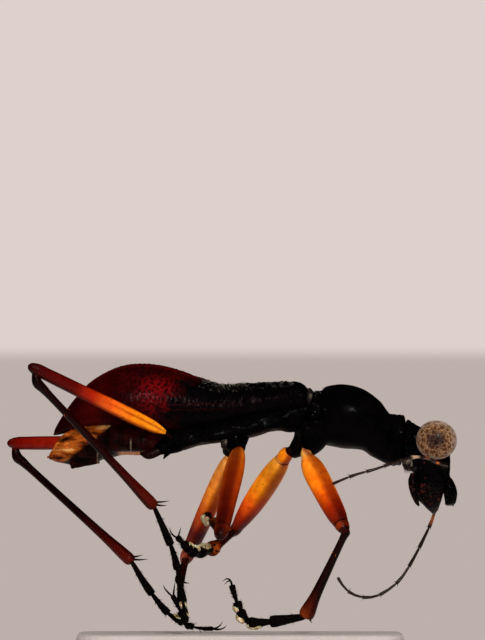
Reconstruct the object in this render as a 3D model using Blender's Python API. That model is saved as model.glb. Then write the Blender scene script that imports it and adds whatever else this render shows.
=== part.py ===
# A flightless tiger beetle, dried in its last pose, on a small plain base.
# X runs forward to the head, Y to the beetle's own left and Z up.
# Every size below is in millimetres, with Z counted from the level that the feet stand on.
# The finished meshes are scaled to metres as the last step.
import math
from collections import namedtuple

import bmesh
import bpy
from mathutils import Matrix, Vector

MM = 0.001
GAP = 0.10                 # clear space between two neighbouring pieces
EYE_GAP = 0.05             # the eyes sit closer in their sockets
SUTURE_DEPTH = 0.035       # groove where the two wing cases meet
SUTURE_REACH = 0.05        # from the groove's middle to each of its lips

# A limb's place along its length, from 0 at its root, and its thickness there
TROCHANTER_WIDTHS = (0.22, 0.24, 0.16)
TROCHANTER_END = 0.12      # how far it reaches into the femur
FEMUR_PLACES = (0.0, 0.06, 0.14, 0.35, 0.60, 0.80, 0.95, 1.03)
FEMUR_SHARES = (0.42, 0.70, 0.90, 1.0, 0.96, 0.84, 0.66, 0.30)
TIBIA_ROOT = 0.26
SHIN_START = 0.12          # where a front or middle tibia leaves the knee
SHIN_DROP = Vector((-0.02, 0.0, -0.21))    # the hind tibia hinges below the femur's end
FOOT_JOINTS = (0.0, 0.34, 0.56, 0.72, 0.82, 1.0)
JOINT_WAIST = 0.72
JOINT_EDGE = 0.02          # half of the step between two joints of a foot

# Thickness of the slender pieces
FRONT_FEMUR = 0.45
MIDDLE_FEMUR = 0.40
HIND_FEMUR = 0.29
KNEE = 0.26
TIBIA = 0.44
TIBIA_END = 0.40
TARSUS = 0.30
TARSUS_END = 0.20
FEELER = 0.40
FEELER_ROOT = 0.26
FEELER_TIP = 0.14
CLAW_WIDTHS = (0.10, 0.07, 0.03)
CLAW_LENGTH = 0.20
CLAW_ROOT = 0.06           # how far a claw starts inside the foot
CLAW_SPREAD = (0.45, 0.65) # sideways at its middle and its tip, as shares of its length
SPUR_WIDTHS = (0.08, 0.06, 0.02)
SPUR_LENGTH = 0.24
SPUR_ASIDE = 0.07          # from the middle of the tibia's edge to a spur
SPUR_ROOT = Vector((0.13, 0.08))       # forward of the tibia's middle and up from its end
COXA_RADIUS = 0.21
HIND_LOBE = Vector((0.24, 0.10, 0.13))  # the bean-shaped trochanter under each hind femur
HIND_LOBE_PLACE = Vector((-0.16, 0.0, -0.16))
SEGMENT_LENGTH = 0.43      # one ring of the abdomen
SEGMENT_STEP = 0.05

# Head
EYE_CENTRE = Vector((3.96, 0.60, 3.70))
EYE_RADII = Vector((0.40, 0.37, 0.38))

# Base under the feet
BASE_LENGTH = 6.4
BASE_WIDTH = 4.8
BASE_THICKNESS = 0.7
BASE_CENTRE = Vector((0.1, -0.1, 0.0))
BASE_CORNER = 0.6
BASE_EDGE = 0.08
FOOT_CLEARANCE = 0.08

# One cross section of the body: its place, its reach up, down and sideways,
# and the elevation in degrees of the line that the body follows there
Station = namedtuple("Station", "x z up down side lean")

ELYTRA = (
    Station(-3.55, 3.84, 0.00, 0.00, 0.00, 0),
    Station(-3.45, 3.93, 0.14, 0.10, 0.14, 0),
    Station(-3.17, 4.08, 0.40, 0.18, 0.42, 0),
    Station(-2.80, 4.23, 0.64, 0.28, 0.67, 0),
    Station(-2.25, 4.32, 0.83, 0.37, 0.84, 0),
    Station(-1.70, 4.33, 0.87, 0.43, 0.82, 0),
    Station(-1.16, 4.30, 0.80, 0.42, 0.73, 0),
    Station(-0.69, 4.28, 0.65, 0.35, 0.66, 0),
    Station(-0.24, 4.30, 0.50, 0.27, 0.61, 0),
    Station(0.24, 4.38, 0.44, 0.22, 0.57, 0),
    Station(0.84, 4.47, 0.38, 0.20, 0.51, 0),
    Station(1.18, 4.52, 0.32, 0.18, 0.47, 0),
    Station(1.34, 4.55, 0.22, 0.12, 0.34, 0),
    Station(1.38, 4.56, 0.00, 0.00, 0.00, 0),
)
ABDOMEN = (
    Station(-3.66, 3.38, 0.00, 0.00, 0.00, 0),
    Station(-3.55, 3.42, 0.13, 0.16, 0.20, 0),
    Station(-3.22, 3.58, 0.30, 0.44, 0.40, 0),
    Station(-2.80, 3.70, 0.38, 0.45, 0.58, 0),
    Station(-2.30, 3.70, 0.40, 0.30, 0.68, 0),
    Station(-1.85, 3.66, 0.40, 0.26, 0.66, 0),
    Station(-1.52, 3.64, 0.34, 0.16, 0.50, 0),
    Station(-1.42, 3.64, 0.00, 0.00, 0.00, 0),
)
PTEROTHORAX = (
    Station(-1.30, 3.62, 0.00, 0.00, 0.00, 0),
    Station(-1.20, 3.63, 0.36, 0.16, 0.50, 0),
    Station(-0.67, 3.70, 0.40, 0.10, 0.58, 0),
    Station(-0.12, 3.82, 0.40, 0.12, 0.56, 0),
    Station(0.40, 3.94, 0.40, 0.16, 0.51, 0),
    Station(0.84, 4.05, 0.36, 0.13, 0.45, 0),
    Station(1.10, 4.10, 0.34, 0.17, 0.41, -8),
    Station(1.24, 4.12, 0.30, 0.20, 0.37, -12),
)
PROTHORAX = (
    Station(1.42, 4.16, 0.46, 0.42, 0.45, -12),
    Station(1.53, 4.17, 0.51, 0.50, 0.50, -10),
    Station(1.64, 4.18, 0.50, 0.56, 0.46, -6),
    Station(1.80, 4.18, 0.58, 0.58, 0.56, 0),
    Station(2.12, 4.18, 0.62, 0.59, 0.64, 0),
    Station(2.48, 4.14, 0.58, 0.60, 0.61, 0),
    Station(2.76, 4.00, 0.49, 0.61, 0.49, -8),
    Station(2.95, 3.87, 0.38, 0.58, 0.37, -10),
    Station(3.10, 3.81, 0.40, 0.60, 0.46, -6),
    Station(3.22, 3.78, 0.42, 0.57, 0.50, -4),
    Station(3.30, 3.76, 0.38, 0.50, 0.44, -4),
)
HEAD = (
    Station(3.41, 3.72, 0.34, 0.44, 0.40, -6),
    Station(3.56, 3.68, 0.30, 0.52, 0.50, -12),
    Station(3.76, 3.60, 0.34, 0.60, 0.58, -24),
    Station(3.92, 3.43, 0.35, 0.62, 0.56, -45),
    Station(3.99, 3.20, 0.26, 0.58, 0.48, -68),
    Station(4.00, 3.00, 0.21, 0.54, 0.42, -78),
)
LABRUM = (
    Station(4.13, 2.92, 0.10, 0.08, 0.30, -68),
    Station(4.20, 2.76, 0.12, 0.09, 0.38, -72),
    Station(4.26, 2.60, 0.10, 0.07, 0.36, -76),
    Station(4.29, 2.48, 0.00, 0.00, 0.00, -80),
)

# One leg: the coxa's centre, the base of the femur, the knee, the end of the tibia,
# the points that the foot runs on through and the way that its claws curl
Leg = namedtuple("Leg", "coxa hip knee ankle foot curl femur")

LEGS = {
    "front_right": Leg(
        coxa=(1.38, -0.22, 3.64), hip=(1.41, -0.48, 3.38), knee=(2.13, -1.70, 2.00),
        ankle=(1.36, -0.98, 0.33),
        foot=((0.66, -1.20, 0.22), (0.26, -1.42, 0.25),
              (0.05, -1.68, 0.58), (-0.06, -1.78, 0.88)),
        curl=(-0.8, 0.0, -0.5), femur=FRONT_FEMUR),
    "front_left": Leg(
        coxa=(1.28, 0.22, 3.64), hip=(1.00, 0.50, 3.40), knee=(0.00, 2.10, 1.88),
        ankle=(-0.46, 0.34, 1.51),
        foot=((-0.78, -0.40, 1.50), (-0.98, -0.95, 1.66),
              (-1.11, -1.22, 1.80)),
        curl=(0.0, 0.0, 1.0), femur=FRONT_FEMUR),
    "middle_right": Leg(
        coxa=(0.04, -0.24, 3.62), hip=(0.06, -0.50, 3.40), knee=(-0.28, -2.25, 1.88),
        ankle=(-0.36, 0.16, 2.22),
        foot=((-0.22, 1.20, 2.25), (-0.17, 1.75, 2.33),
              (-0.19, 2.28, 2.38)),
        curl=(0.0, 0.6, -1.0), femur=MIDDLE_FEMUR),
    "middle_left": Leg(
        coxa=(-0.04, 0.24, 3.62), hip=(-0.12, 0.50, 3.38), knee=(-1.00, 2.60, 1.34),
        ankle=(-0.90, 0.56, 0.94),
        foot=((-1.00, -0.30, 0.48), (-1.14, -0.88, 0.42),
              (-1.26, -1.26, 0.72)),
        curl=(-0.2, 0.0, 1.0), femur=MIDDLE_FEMUR),
    "hind_right": Leg(
        coxa=(-1.14, -0.36, 3.62), hip=(-1.44, -0.78, 3.88), knee=(-3.94, -2.05, 5.11),
        ankle=(-1.59, -0.28, 2.41),
        foot=((-1.17, -0.72, 1.63), (-1.12, -1.02, 1.20),
              (-1.01, -1.40, 0.62), (-0.96, -1.48, 0.22)),
        curl=(0.9, 0.0, 0.5), femur=HIND_FEMUR),
    "hind_left": Leg(
        coxa=(-1.14, 0.36, 3.62), hip=(-1.44, 0.76, 3.66), knee=(-4.34, 2.60, 3.61),
        ankle=(-2.02, 0.94, 1.34),
        foot=((-1.73, 0.80, 0.74), (-1.30, 0.67, 0.26),
              (-0.73, 0.49, 0.12), (-0.36, 0.37, 0.11)),
        curl=(0.7, 0.0, 0.7), femur=HIND_FEMUR),
}

# The feelers: the right one sweeps out and back, the left one hangs down
FEELERS = {
    "right": ((4.03, -0.60, 3.12), (4.14, -0.94, 3.18), (3.94, -1.33, 3.27),
              (3.76, -1.78, 3.36), (3.51, -2.25, 3.38), (3.29, -2.61, 3.31),
              (3.02, -2.88, 3.22), (2.73, -3.00, 3.12), (2.37, -3.02, 3.02),
              (2.08, -2.96, 2.92), (1.90, -2.84, 2.85)),
    "left": ((4.03, 0.60, 3.06), (3.98, 0.80, 2.65), (3.90, 1.00, 2.20),
             (3.71, 1.24, 1.75), (3.45, 1.40, 1.25), (3.22, 1.33, 0.92),
             (2.90, 1.22, 0.70), (2.61, 1.08, 0.62), (2.31, 0.90, 0.69),
             (2.12, 0.73, 0.84), (2.02, 0.60, 1.00)),
}

# The right-hand pieces of the mouth; the left ones are their mirror images
MANDIBLE = ((3.93, -0.27, 2.80), (4.00, -0.33, 2.60), (4.00, -0.22, 2.40), (3.95, -0.08, 2.28))
MANDIBLE_THICKNESS = (0.22, 0.20, 0.14, 0.05)
PALP = ((3.66, -0.26, 2.74), (3.58, -0.34, 2.62), (3.54, -0.35, 2.50), (3.60, -0.30, 2.40))
PALP_THICKNESS = (0.16, 0.14, 0.15, 0.10)

# Colours, with the roughness of each finish
BLACK = (0.006, 0.006, 0.009)
MAROON = (0.110, 0.004, 0.003)
AMBER = (0.560, 0.170, 0.020)
DARK_BROWN = (0.030, 0.008, 0.004)
TAN = (0.330, 0.210, 0.120)
CARD = (0.620, 0.560, 0.530)


def clear_scene():
    for item in list(bpy.data.objects):
        bpy.data.objects.remove(item)


def new_collection(name):
    collection = bpy.data.collections.new(name)
    bpy.context.scene.collection.children.link(collection)
    return collection


def add_object(name, mesh, collection):
    item = bpy.data.objects.new(name, mesh)
    collection.objects.link(item)
    return item


def mesh_from(bm, name):
    mesh = bpy.data.meshes.new(name)
    bm.to_mesh(mesh)
    bm.free()
    return mesh


def evaluated_mesh(item):
    return bpy.data.meshes.new_from_object(item.evaluated_get(bpy.context.evaluated_depsgraph_get()))


def smooth_between(before, start, end, after, t):
    # A curve through the points, value by value
    return [
        0.5 * (2 * b + (c - a) * t + (2 * a - 5 * b + 4 * c - d) * t * t
               + (3 * b - a - 3 * c + d) * t ** 3)
        for a, b, c, d in zip(before, start, end, after)]


def smoothed(rows, steps):
    # The rows with steps - 1 more between each two, ends run straight on
    first = [2 * a - b for a, b in zip(rows[0], rows[1])]
    last = [2 * a - b for a, b in zip(rows[-1], rows[-2])]
    return run_through(first, rows, last, steps)


def run_through(first, rows, last, steps):
    padded = [first, *rows, last]
    result = []
    for index in range(len(rows) - 1):
        span = padded[index:index + 4]
        for step in range(steps):
            result.append(smooth_between(*span, step / steps))
    result.append(list(rows[-1]))
    return result


def past_the_end(end, neighbour):
    # A pole closes round when the next section is repeated there turned inside out,
    # and a flat end runs straight on
    if end.side == 0:
        return Station(neighbour.x, neighbour.z, -neighbour.up, -neighbour.down,
                       -neighbour.side, neighbour.lean)
    return [2 * a - b for a, b in zip(end, neighbour)]


def rounded(value, power):
    return math.copysign(abs(value) ** (2 / power), value)


def section_ring(bm, station, sides, top_power, low_power):
    # The vertices of one cross section, or the single vertex of a pole
    if station.side < 1e-6:
        return [bm.verts.new((station.x, 0, station.z))]
    lean = math.radians(station.lean)
    upward = Vector((-math.sin(lean), 0, math.cos(lean)))
    ring = []
    for index in range(sides):
        turn = 2 * math.pi * (index + 0.5) / sides
        power = top_power if math.sin(turn) > 0 else low_power
        reach = station.up if math.sin(turn) > 0 else station.down
        offset = upward * reach * rounded(math.sin(turn), power)
        offset.y = station.side * rounded(math.cos(turn), power)
        ring.append(bm.verts.new(Vector((station.x, 0, station.z)) + offset))
    return ring


def join_rings(bm, ring, following):
    count = max(len(ring), len(following))
    for index in range(count):
        after = (index + 1) % count
        if len(ring) == 1:
            bm.faces.new((ring[0], following[index], following[after]))
        elif len(following) == 1:
            bm.faces.new((ring[after], ring[index], following[0]))
        else:
            bm.faces.new((ring[after], ring[index], following[index], following[after]))


def loft(name, stations, collection, sides=20, steps=2, top_power=2.0, low_power=2.4, shape=None):
    first = past_the_end(stations[0], stations[1])
    last = past_the_end(stations[-1], stations[-2])
    rows = run_through(first, stations, last, steps)
    if shape:
        rows = [shape(Station(*row)) for row in rows]
    bm = bmesh.new()
    rings = [section_ring(bm, Station(*row), sides, top_power, low_power) for row in rows]
    for ring, following in zip(rings, rings[1:]):
        join_rings(bm, ring, following)
    for ring in (rings[0], rings[-1]):
        if len(ring) > 1:
            bm.faces.new(ring)
    bmesh.ops.recalc_face_normals(bm, faces=bm.faces)
    return add_object(name, mesh_from(bm, name), collection)


def tube(name, points, thicknesses, collection, steps=3, resolution=2):
    # A round bar through the points, tapering from one thickness to the next
    rows = smoothed([(*point, thick) for point, thick in zip(points, thicknesses)], steps)
    curve = bpy.data.curves.new(name, "CURVE")
    curve.dimensions = "3D"
    curve.bevel_depth = 0.5
    curve.bevel_resolution = resolution
    curve.use_fill_caps = True
    spline = curve.splines.new("POLY")
    spline.points.add(len(rows) - 1)
    for point, row in zip(spline.points, rows):
        point.co = (*row[:3], 1)
        point.radius = row[3]
    bar = add_object(name, curve, collection)
    mesh = evaluated_mesh(bar)
    bpy.data.objects.remove(bar)
    bm = bmesh.new()
    bm.from_mesh(mesh)
    bmesh.ops.remove_doubles(bm, verts=bm.verts, dist=1e-4)
    bmesh.ops.recalc_face_normals(bm, faces=bm.faces)
    return add_object(name, mesh_from(bm, name), collection)


def ball(name, centre, radii, collection, segments=16, rings=10):
    bm = bmesh.new()
    place = Matrix.Translation(centre) @ Matrix.Diagonal((*radii, 1))
    bmesh.ops.create_uvsphere(bm, u_segments=segments, v_segments=rings, radius=1, matrix=place)
    return add_object(name, mesh_from(bm, name), collection)


def keep_largest(mesh):
    # Only the largest closed surface stays
    bm = bmesh.new()
    bm.from_mesh(mesh)
    left = set(bm.faces)
    shells = []
    while left:
        shell = set()
        waiting = [left.pop()]
        while waiting:
            face = waiting.pop()
            shell.add(face)
            for edge in face.edges:
                for other in edge.link_faces:
                    if other in left:
                        left.remove(other)
                        waiting.append(other)
        shells.append(shell)
    largest = max(shells, key=lambda shell: sum(face.calc_area() for face in shell))
    bmesh.ops.delete(bm, geom=[face for face in bm.faces if face not in largest], context="FACES")
    bm.to_mesh(mesh)
    bm.free()


def combine(name, pieces, operation, collection):
    # The first piece joined with, or cut by, all the others
    others = new_collection(name + "_pieces")
    for piece in pieces[1:]:
        collection.objects.unlink(piece)
        others.objects.link(piece)
    boolean = pieces[0].modifiers.new(operation.lower(), "BOOLEAN")
    boolean.operation = operation
    boolean.solver = "EXACT"
    boolean.operand_type = "COLLECTION"
    boolean.collection = others
    mesh = evaluated_mesh(pieces[0])
    keep_largest(mesh)
    for piece in pieces:
        bpy.data.objects.remove(piece)
    bpy.data.collections.remove(others)
    mesh.name = name
    return add_object(name, mesh, collection)


def cut_level(item, level):
    # A flat sole at the level of the feet
    bm = bmesh.new()
    bm.from_mesh(item.data)
    cut = bmesh.ops.bisect_plane(
        bm, geom=[*bm.verts, *bm.edges, *bm.faces], plane_co=(0, 0, level),
        plane_no=(0, 0, -1), clear_outer=True, dist=1e-5)
    rim = [part for part in cut["geom_cut"] if isinstance(part, bmesh.types.BMEdge)]
    if rim:
        bmesh.ops.holes_fill(bm, edges=rim, sides=0)
        bmesh.ops.triangulate(bm, faces=[face for face in bm.faces if len(face.verts) > 4])
        bmesh.ops.recalc_face_normals(bm, faces=bm.faces)
    bm.to_mesh(item.data)
    bm.free()


def paint(item, colour, roughness):
    material = bpy.data.materials.new(item.name + "_finish")
    material.use_nodes = True
    shader = material.node_tree.nodes["Principled BSDF"]
    shader.inputs["Base Color"].default_value = (*colour, 1)
    shader.inputs["Roughness"].default_value = roughness
    shader.inputs["Metallic"].default_value = 0
    item.data.materials.clear()
    item.data.materials.append(material)


def mirrored(points):
    return [(x, -y, z) for x, y, z in points]


def sink_suture(item):
    # The seam of the wing cases: a small valley along the middle of their top
    bm = bmesh.new()
    bm.from_mesh(item.data)
    for side in (-SUTURE_REACH, 0, SUTURE_REACH):
        bmesh.ops.bisect_plane(
            bm, geom=[*bm.verts, *bm.edges, *bm.faces], plane_co=(0, side, 0),
            plane_no=(0, 1, 0), dist=1e-5)
    bm.normal_update()
    for vert in bm.verts:
        if abs(vert.co.y) < 1e-4 and vert.normal.z > 0.4:
            vert.co -= vert.normal * SUTURE_DEPTH
    bm.to_mesh(item.data)
    bm.free()


def grown(stations, amount):
    # The same body with a skin of that thickness round it
    result = []
    for station in stations:
        if station.side > 0:
            result.append(station._replace(
                up=station.up + amount, down=station.down + amount, side=station.side + amount))
        else:
            outward = math.copysign(amount, station.x - stations[len(stations) // 2].x)
            result.append(station._replace(x=station.x + outward))
    return result


def make_wing_cases(model):
    # The wing cases lie over the back like a lid, hollowed to clear what they cover
    lid = loft("elytra_lid", ELYTRA, model, sides=24, low_power=3.2)
    sink_suture(lid)
    hollows = [
        loft("hollow", grown(ABDOMEN, GAP), model),
        loft("hollow", grown(PTEROTHORAX, GAP), model)]
    paint(combine("elytra", [lid, *hollows], "DIFFERENCE", model), MAROON, 0.25)


def ringed(station):
    # Each ring of the abdomen is a little deeper at its rear edge than the next one's front
    place = (station.x - ABDOMEN[0].x) / SEGMENT_LENGTH
    return station._replace(down=station.down * (1 - SEGMENT_STEP * 2 * (place % 1)))


def make_abdomen(model):
    abdomen = loft("abdomen", ABDOMEN, model, steps=3, shape=ringed)
    paint(abdomen, TAN, 0.4)


def coxa_balls(name, pairs, model):
    return [
        ball(f"{name}_coxa_{side}", LEGS[f"{pair}_{side}"].coxa, [COXA_RADIUS] * 3, model, 12, 8)
        for pair in pairs for side in ("left", "right")]


def make_thorax(model):
    hind_part = loft("pterothorax_core", PTEROTHORAX, model)
    pieces = [hind_part, *coxa_balls("pterothorax", ("middle", "hind"), model)]
    paint(combine("pterothorax", pieces, "UNION", model), BLACK, 0.3)
    front_part = loft("prothorax_core", PROTHORAX, model)
    pieces = [front_part, *coxa_balls("prothorax", ("front",), model)]
    paint(combine("prothorax", pieces, "UNION", model), BLACK, 0.2)


def make_head(model):
    skull = loft("head_core", HEAD, model)
    sockets = []
    for side, turn in (("left", 1), ("right", -1)):
        centre = EYE_CENTRE * Vector((1, turn, 1))
        paint(ball(f"eye_{side}", centre, EYE_RADII, model), TAN, 0.3)
        socket = EYE_RADII + Vector((EYE_GAP, EYE_GAP, EYE_GAP))
        sockets.append(ball(f"socket_{side}", centre, socket, model))
    paint(combine("head", [skull, *sockets], "DIFFERENCE", model), BLACK, 0.25)
    paint(loft("labrum", LABRUM, model, sides=16), BLACK, 0.3)


def make_mouth(model):
    for side, turn in (("right", lambda points: points), ("left", mirrored)):
        mandible = tube(f"mandible_{side}", turn(MANDIBLE), MANDIBLE_THICKNESS, model)
        paint(mandible, DARK_BROWN, 0.25)
        palp = tube(f"palps_{side}", turn(PALP), PALP_THICKNESS, model)
        paint(palp, DARK_BROWN, 0.35)


def make_feelers(model):
    for side, points in FEELERS.items():
        last = len(points) - 1
        thicknesses = [
            FEELER + (FEELER_TIP - FEELER) * (index / last) ** 2 for index in range(last + 1)]
        thicknesses[0] = FEELER_ROOT
        feeler = tube(f"antenna_{side}", points, thicknesses, model, steps=2)
        paint(feeler, DARK_BROWN, 0.4)


def make_upper_leg(name, leg, model):
    # Trochanter, femur and tibia are one body, because the knee is folded tight
    coxa, hip, knee, ankle = map(Vector, (leg.coxa, leg.hip, leg.knee, leg.ankle))
    root = coxa + (hip - coxa).normalized() * (COXA_RADIUS + GAP)
    trochanter = tube("trochanter", [root, hip, hip.lerp(knee, TROCHANTER_END)],
                      TROCHANTER_WIDTHS, model, 2)
    widths = [max(share * leg.femur, KNEE * (share > 0.5)) for share in FEMUR_SHARES]
    femur = tube("femur", [hip.lerp(knee, place) for place in FEMUR_PLACES], widths, model, 2, 4)
    shin = knee + SHIN_DROP if leg.femur == HIND_FEMUR else knee.lerp(ankle, SHIN_START)
    tibia = tube(
        "tibia", [knee, shin, shin.lerp(ankle, 0.5), ankle],
        (TIBIA_ROOT, TIBIA_ROOT, TIBIA, TIBIA_END), model, 2)
    pieces = [femur, tibia, trochanter]
    if leg.femur == HIND_FEMUR:
        pieces.append(ball("lobe", hip + HIND_LOBE_PLACE, HIND_LOBE, model, 10, 8))
        pieces.extend(spurs(leg, model))
    upper = combine(f"leg_{name}", pieces, "UNION", model)
    cut_level(upper, 0)
    paint(upper, AMBER, 0.3)


def spurs(leg, model):
    # Two sharp spurs at the front edge of a hind tibia's end
    knee, ankle = Vector(leg.knee), Vector(leg.ankle)
    down = (ankle - knee).normalized()
    ahead = Vector((1, 0, 0.3))
    forward = (ahead - down * down.dot(ahead)).normalized()
    result = []
    for side in (-1, 1):
        aside = down.cross(forward) * side * SPUR_ASIDE
        root = ankle + forward * SPUR_ROOT.x - down * SPUR_ROOT.y + aside
        tip = root + (forward * 0.8 + down * 0.6) * SPUR_LENGTH + aside * 0.4
        result.append(tube("spur", [root, root.lerp(tip, 0.5), tip], SPUR_WIDTHS, model, 1))
    return result


def foot_tube(name, leg, model):
    # Five joints, each a little wider at its far end
    ankle, onward = Vector(leg.ankle), Vector(leg.foot[0])
    start = ankle + (onward - ankle).normalized() * GAP
    path = [Vector(row) for row in smoothed([start, *map(Vector, leg.foot)], 4)]
    lengths = [0.0]
    for here, there in zip(path, path[1:]):
        lengths.append(lengths[-1] + (there - here).length)
    points = []
    widths = []
    for start, end in zip(FOOT_JOINTS, FOOT_JOINTS[1:]):
        for place, share in ((start + JOINT_EDGE, JOINT_WAIST), (end - JOINT_EDGE, 1.0)):
            points.append(point_at(path, lengths, place * lengths[-1]))
            widths.append(share * (TARSUS + (TARSUS_END - TARSUS) * place))
    points[0] = path[0]
    points[-1] = path[-1]
    return tube(name, points, widths, model, steps=1)


def point_at(path, lengths, distance):
    for index in range(1, len(path)):
        if lengths[index] >= distance:
            share = (distance - lengths[index - 1]) / (lengths[index] - lengths[index - 1])
            return path[index - 1].lerp(path[index], share)
    return path[-1]


def claw_tubes(leg, model):
    end = Vector(leg.foot[-1])
    onward = (end - Vector(leg.foot[-2])).normalized()
    curl = Vector(leg.curl).normalized()
    spread = onward.cross(curl).normalized()
    claws = []
    for side in (-1, 1):
        root = end - onward * CLAW_ROOT
        middle = end + (onward * 0.5 + spread * side * CLAW_SPREAD[0]) * CLAW_LENGTH
        tip = end + (onward * 0.5 + curl * 0.55 + spread * side * CLAW_SPREAD[1]) * CLAW_LENGTH
        claws.append(tube("claw", [root, middle, tip], CLAW_WIDTHS, model, 2))
    return claws


def make_foot(name, leg, model):
    pieces = [foot_tube("foot", leg, model), *claw_tubes(leg, model)]
    foot = combine(f"tarsus_{name}", pieces, "UNION", model)
    cut_level(foot, 0)
    paint(foot, DARK_BROWN, 0.5)


def make_base(model):
    bm = bmesh.new()
    place = Matrix.Translation(BASE_CENTRE - Vector((0, 0, FOOT_CLEARANCE + BASE_THICKNESS / 2)))
    size = Matrix.Diagonal((BASE_LENGTH, BASE_WIDTH, BASE_THICKNESS, 1))
    bmesh.ops.create_cube(bm, size=1, matrix=place @ size)
    upright = [edge for edge in bm.edges if abs(edge.verts[0].co.z - edge.verts[1].co.z) > 0.1]
    bmesh.ops.bevel(bm, geom=upright, offset=BASE_CORNER, segments=6, profile=0.5,
                    affect="EDGES", material=-1)
    top = max(vert.co.z for vert in bm.verts)
    rim = [edge for edge in bm.edges if all(vert.co.z > top - 1e-4 for vert in edge.verts)]
    bmesh.ops.bevel(bm, geom=rim, offset=BASE_EDGE, segments=2, profile=0.5,
                    affect="EDGES", material=-1)
    base = add_object("stand_base", mesh_from(bm, "stand_base"), model)
    paint(base, CARD, 0.8)


def shade(item):
    item.data.shade_smooth()
    item.data.set_sharp_from_angle(angle=math.radians(40))


def place_on_origin(model):
    # Scale to metres and stand the whole model on the origin, at the middle of its box
    lows = [min(v.co[axis] for item in model.objects for v in item.data.vertices) for axis in range(3)]
    highs = [max(v.co[axis] for item in model.objects for v in item.data.vertices) for axis in range(2)]
    middle = Vector([(low + high) / 2 for low, high in zip(lows, highs)] + [lows[2]])
    stand = bpy.data.objects.new("model_origin", None)
    stand.location = -middle * MM
    for item in model.objects:
        item.data.transform(Matrix.Scale(MM, 4))
        shade(item)
        item.parent = stand
    bpy.context.scene.collection.objects.link(stand)


def main():
    clear_scene()
    model = new_collection("tiger_beetle")
    make_wing_cases(model)
    make_abdomen(model)
    make_thorax(model)
    make_head(model)
    make_mouth(model)
    make_feelers(model)
    for name, leg in LEGS.items():
        make_upper_leg(name, leg, model)
        make_foot(name, leg, model)
    make_base(model)
    place_on_origin(model)


main()
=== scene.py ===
# %% [markdown]
# A flightless tiger beetle, dried in its last pose and shown on a small plain base.
# The lesson builds each plate of its armour, the glassy amber legs, the mottled eyes and the
# beaded feelers from a few measured sizes. Lengths are in millimetres, as an insect is measured,
# and every finished mesh is scaled to metres in the same step that puts it on the base.

import math
import random

import bmesh
import bpy
from mathutils import Matrix, Vector, noise


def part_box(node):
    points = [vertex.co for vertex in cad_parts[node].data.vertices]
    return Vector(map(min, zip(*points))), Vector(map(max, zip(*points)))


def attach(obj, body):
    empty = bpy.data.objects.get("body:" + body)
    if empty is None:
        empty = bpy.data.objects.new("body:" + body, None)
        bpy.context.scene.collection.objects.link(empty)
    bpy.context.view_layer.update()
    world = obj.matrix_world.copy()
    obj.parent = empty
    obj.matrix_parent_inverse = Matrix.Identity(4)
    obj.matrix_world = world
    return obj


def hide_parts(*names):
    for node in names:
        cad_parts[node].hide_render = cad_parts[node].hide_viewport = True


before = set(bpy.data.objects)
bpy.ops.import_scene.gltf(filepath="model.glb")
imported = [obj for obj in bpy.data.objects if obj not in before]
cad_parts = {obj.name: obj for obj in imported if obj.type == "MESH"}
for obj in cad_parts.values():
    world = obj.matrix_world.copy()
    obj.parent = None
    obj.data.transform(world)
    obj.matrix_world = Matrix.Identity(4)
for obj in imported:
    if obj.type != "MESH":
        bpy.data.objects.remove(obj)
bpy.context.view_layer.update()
print("nodes to dress:", len(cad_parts))

# %% [markdown]
# The beetle was measured from the level of its feet, with X forward and Y to its own left.
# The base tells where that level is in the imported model, so one matrix takes every millimetre
# size there. A mesh is changed by the matrix itself, which leaves its object at the origin.

# %% Where the measured sizes land
MM = 0.001
BASE_MIDDLE = Vector((0.1, -0.1))
FOOT_CLEARANCE = 0.08
base_low, base_high = (Vector(corner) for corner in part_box("stand_base"))
origin = Vector((
    (base_low.x + base_high.x) / 2 - BASE_MIDDLE.x * MM,
    (base_low.y + base_high.y) / 2 - BASE_MIDDLE.y * MM,
    base_high.z + FOOT_CLEARANCE * MM))
PLACE = Matrix.Translation(origin) @ Matrix.Scale(MM, 4)
print("feet stand at", round(origin.z * 1000, 3), "mm above the shelf")

# %% [markdown]
# Every piece is finished the same way: it is moved to its place and shaded smooth, it rides on
# the one rigid body, and it takes over the plain solid that it stands for, if there is one.


# %% Finishing a piece
def finish_piece(name, bm, material, slot, *nodes):
    bmesh.ops.transform(bm, matrix=PLACE, verts=bm.verts)
    mesh = bpy.data.meshes.new(name)
    bm.to_mesh(mesh)
    bm.free()
    mesh.shade_smooth()
    mesh.materials.append(material)
    piece = bpy.data.objects.new(name, mesh)
    bpy.context.scene.collection.objects.link(piece)
    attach(piece, "root")
    if nodes:
        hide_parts(*nodes)
    print(name, len(mesh.polygons), "faces")


# %% [markdown]
# Smooth forms come from few numbers. A row holds the sizes of one cross section, and a
# Catmull-Rom curve through the rows gives all the sections between them. Where a form closes
# in a point, the row next to the point is repeated turned inside out, which rounds the end off.


# %% Curves through a few measured rows
def between(before, start, end, after, t):
    return [
        0.5 * (2 * b + (c - a) * t + (2 * a - 5 * b + 4 * c - d) * t * t
               + (3 * b - a - 3 * c + d) * t ** 3)
        for a, b, c, d in zip(before, start, end, after)]


def row_at(rows, place):
    # rows has one spare row at each end; place counts from the first real row
    index = min(int(place), len(rows) - 4)
    return between(*rows[index:index + 4], place - index)


def straight_on(rows):
    first = [2 * a - b for a, b in zip(rows[0], rows[1])]
    last = [2 * a - b for a, b in zip(rows[-1], rows[-2])]
    return [first, *rows, last]


def rounded_off(rows):
    # x, z and lean mirror at a pole, the three reaches change sign
    def inside_out(row):
        x, z, up, down, side, lean = row
        return [x, z, -up, -down, -side, lean]
    return [inside_out(rows[1]), *rows, inside_out(rows[-2])]


# %% [markdown]
# The plates of the body are moulded like clay: a ball with its poles fore and aft is drawn out
# until each of its circles has the height and width measured for that place.


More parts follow.
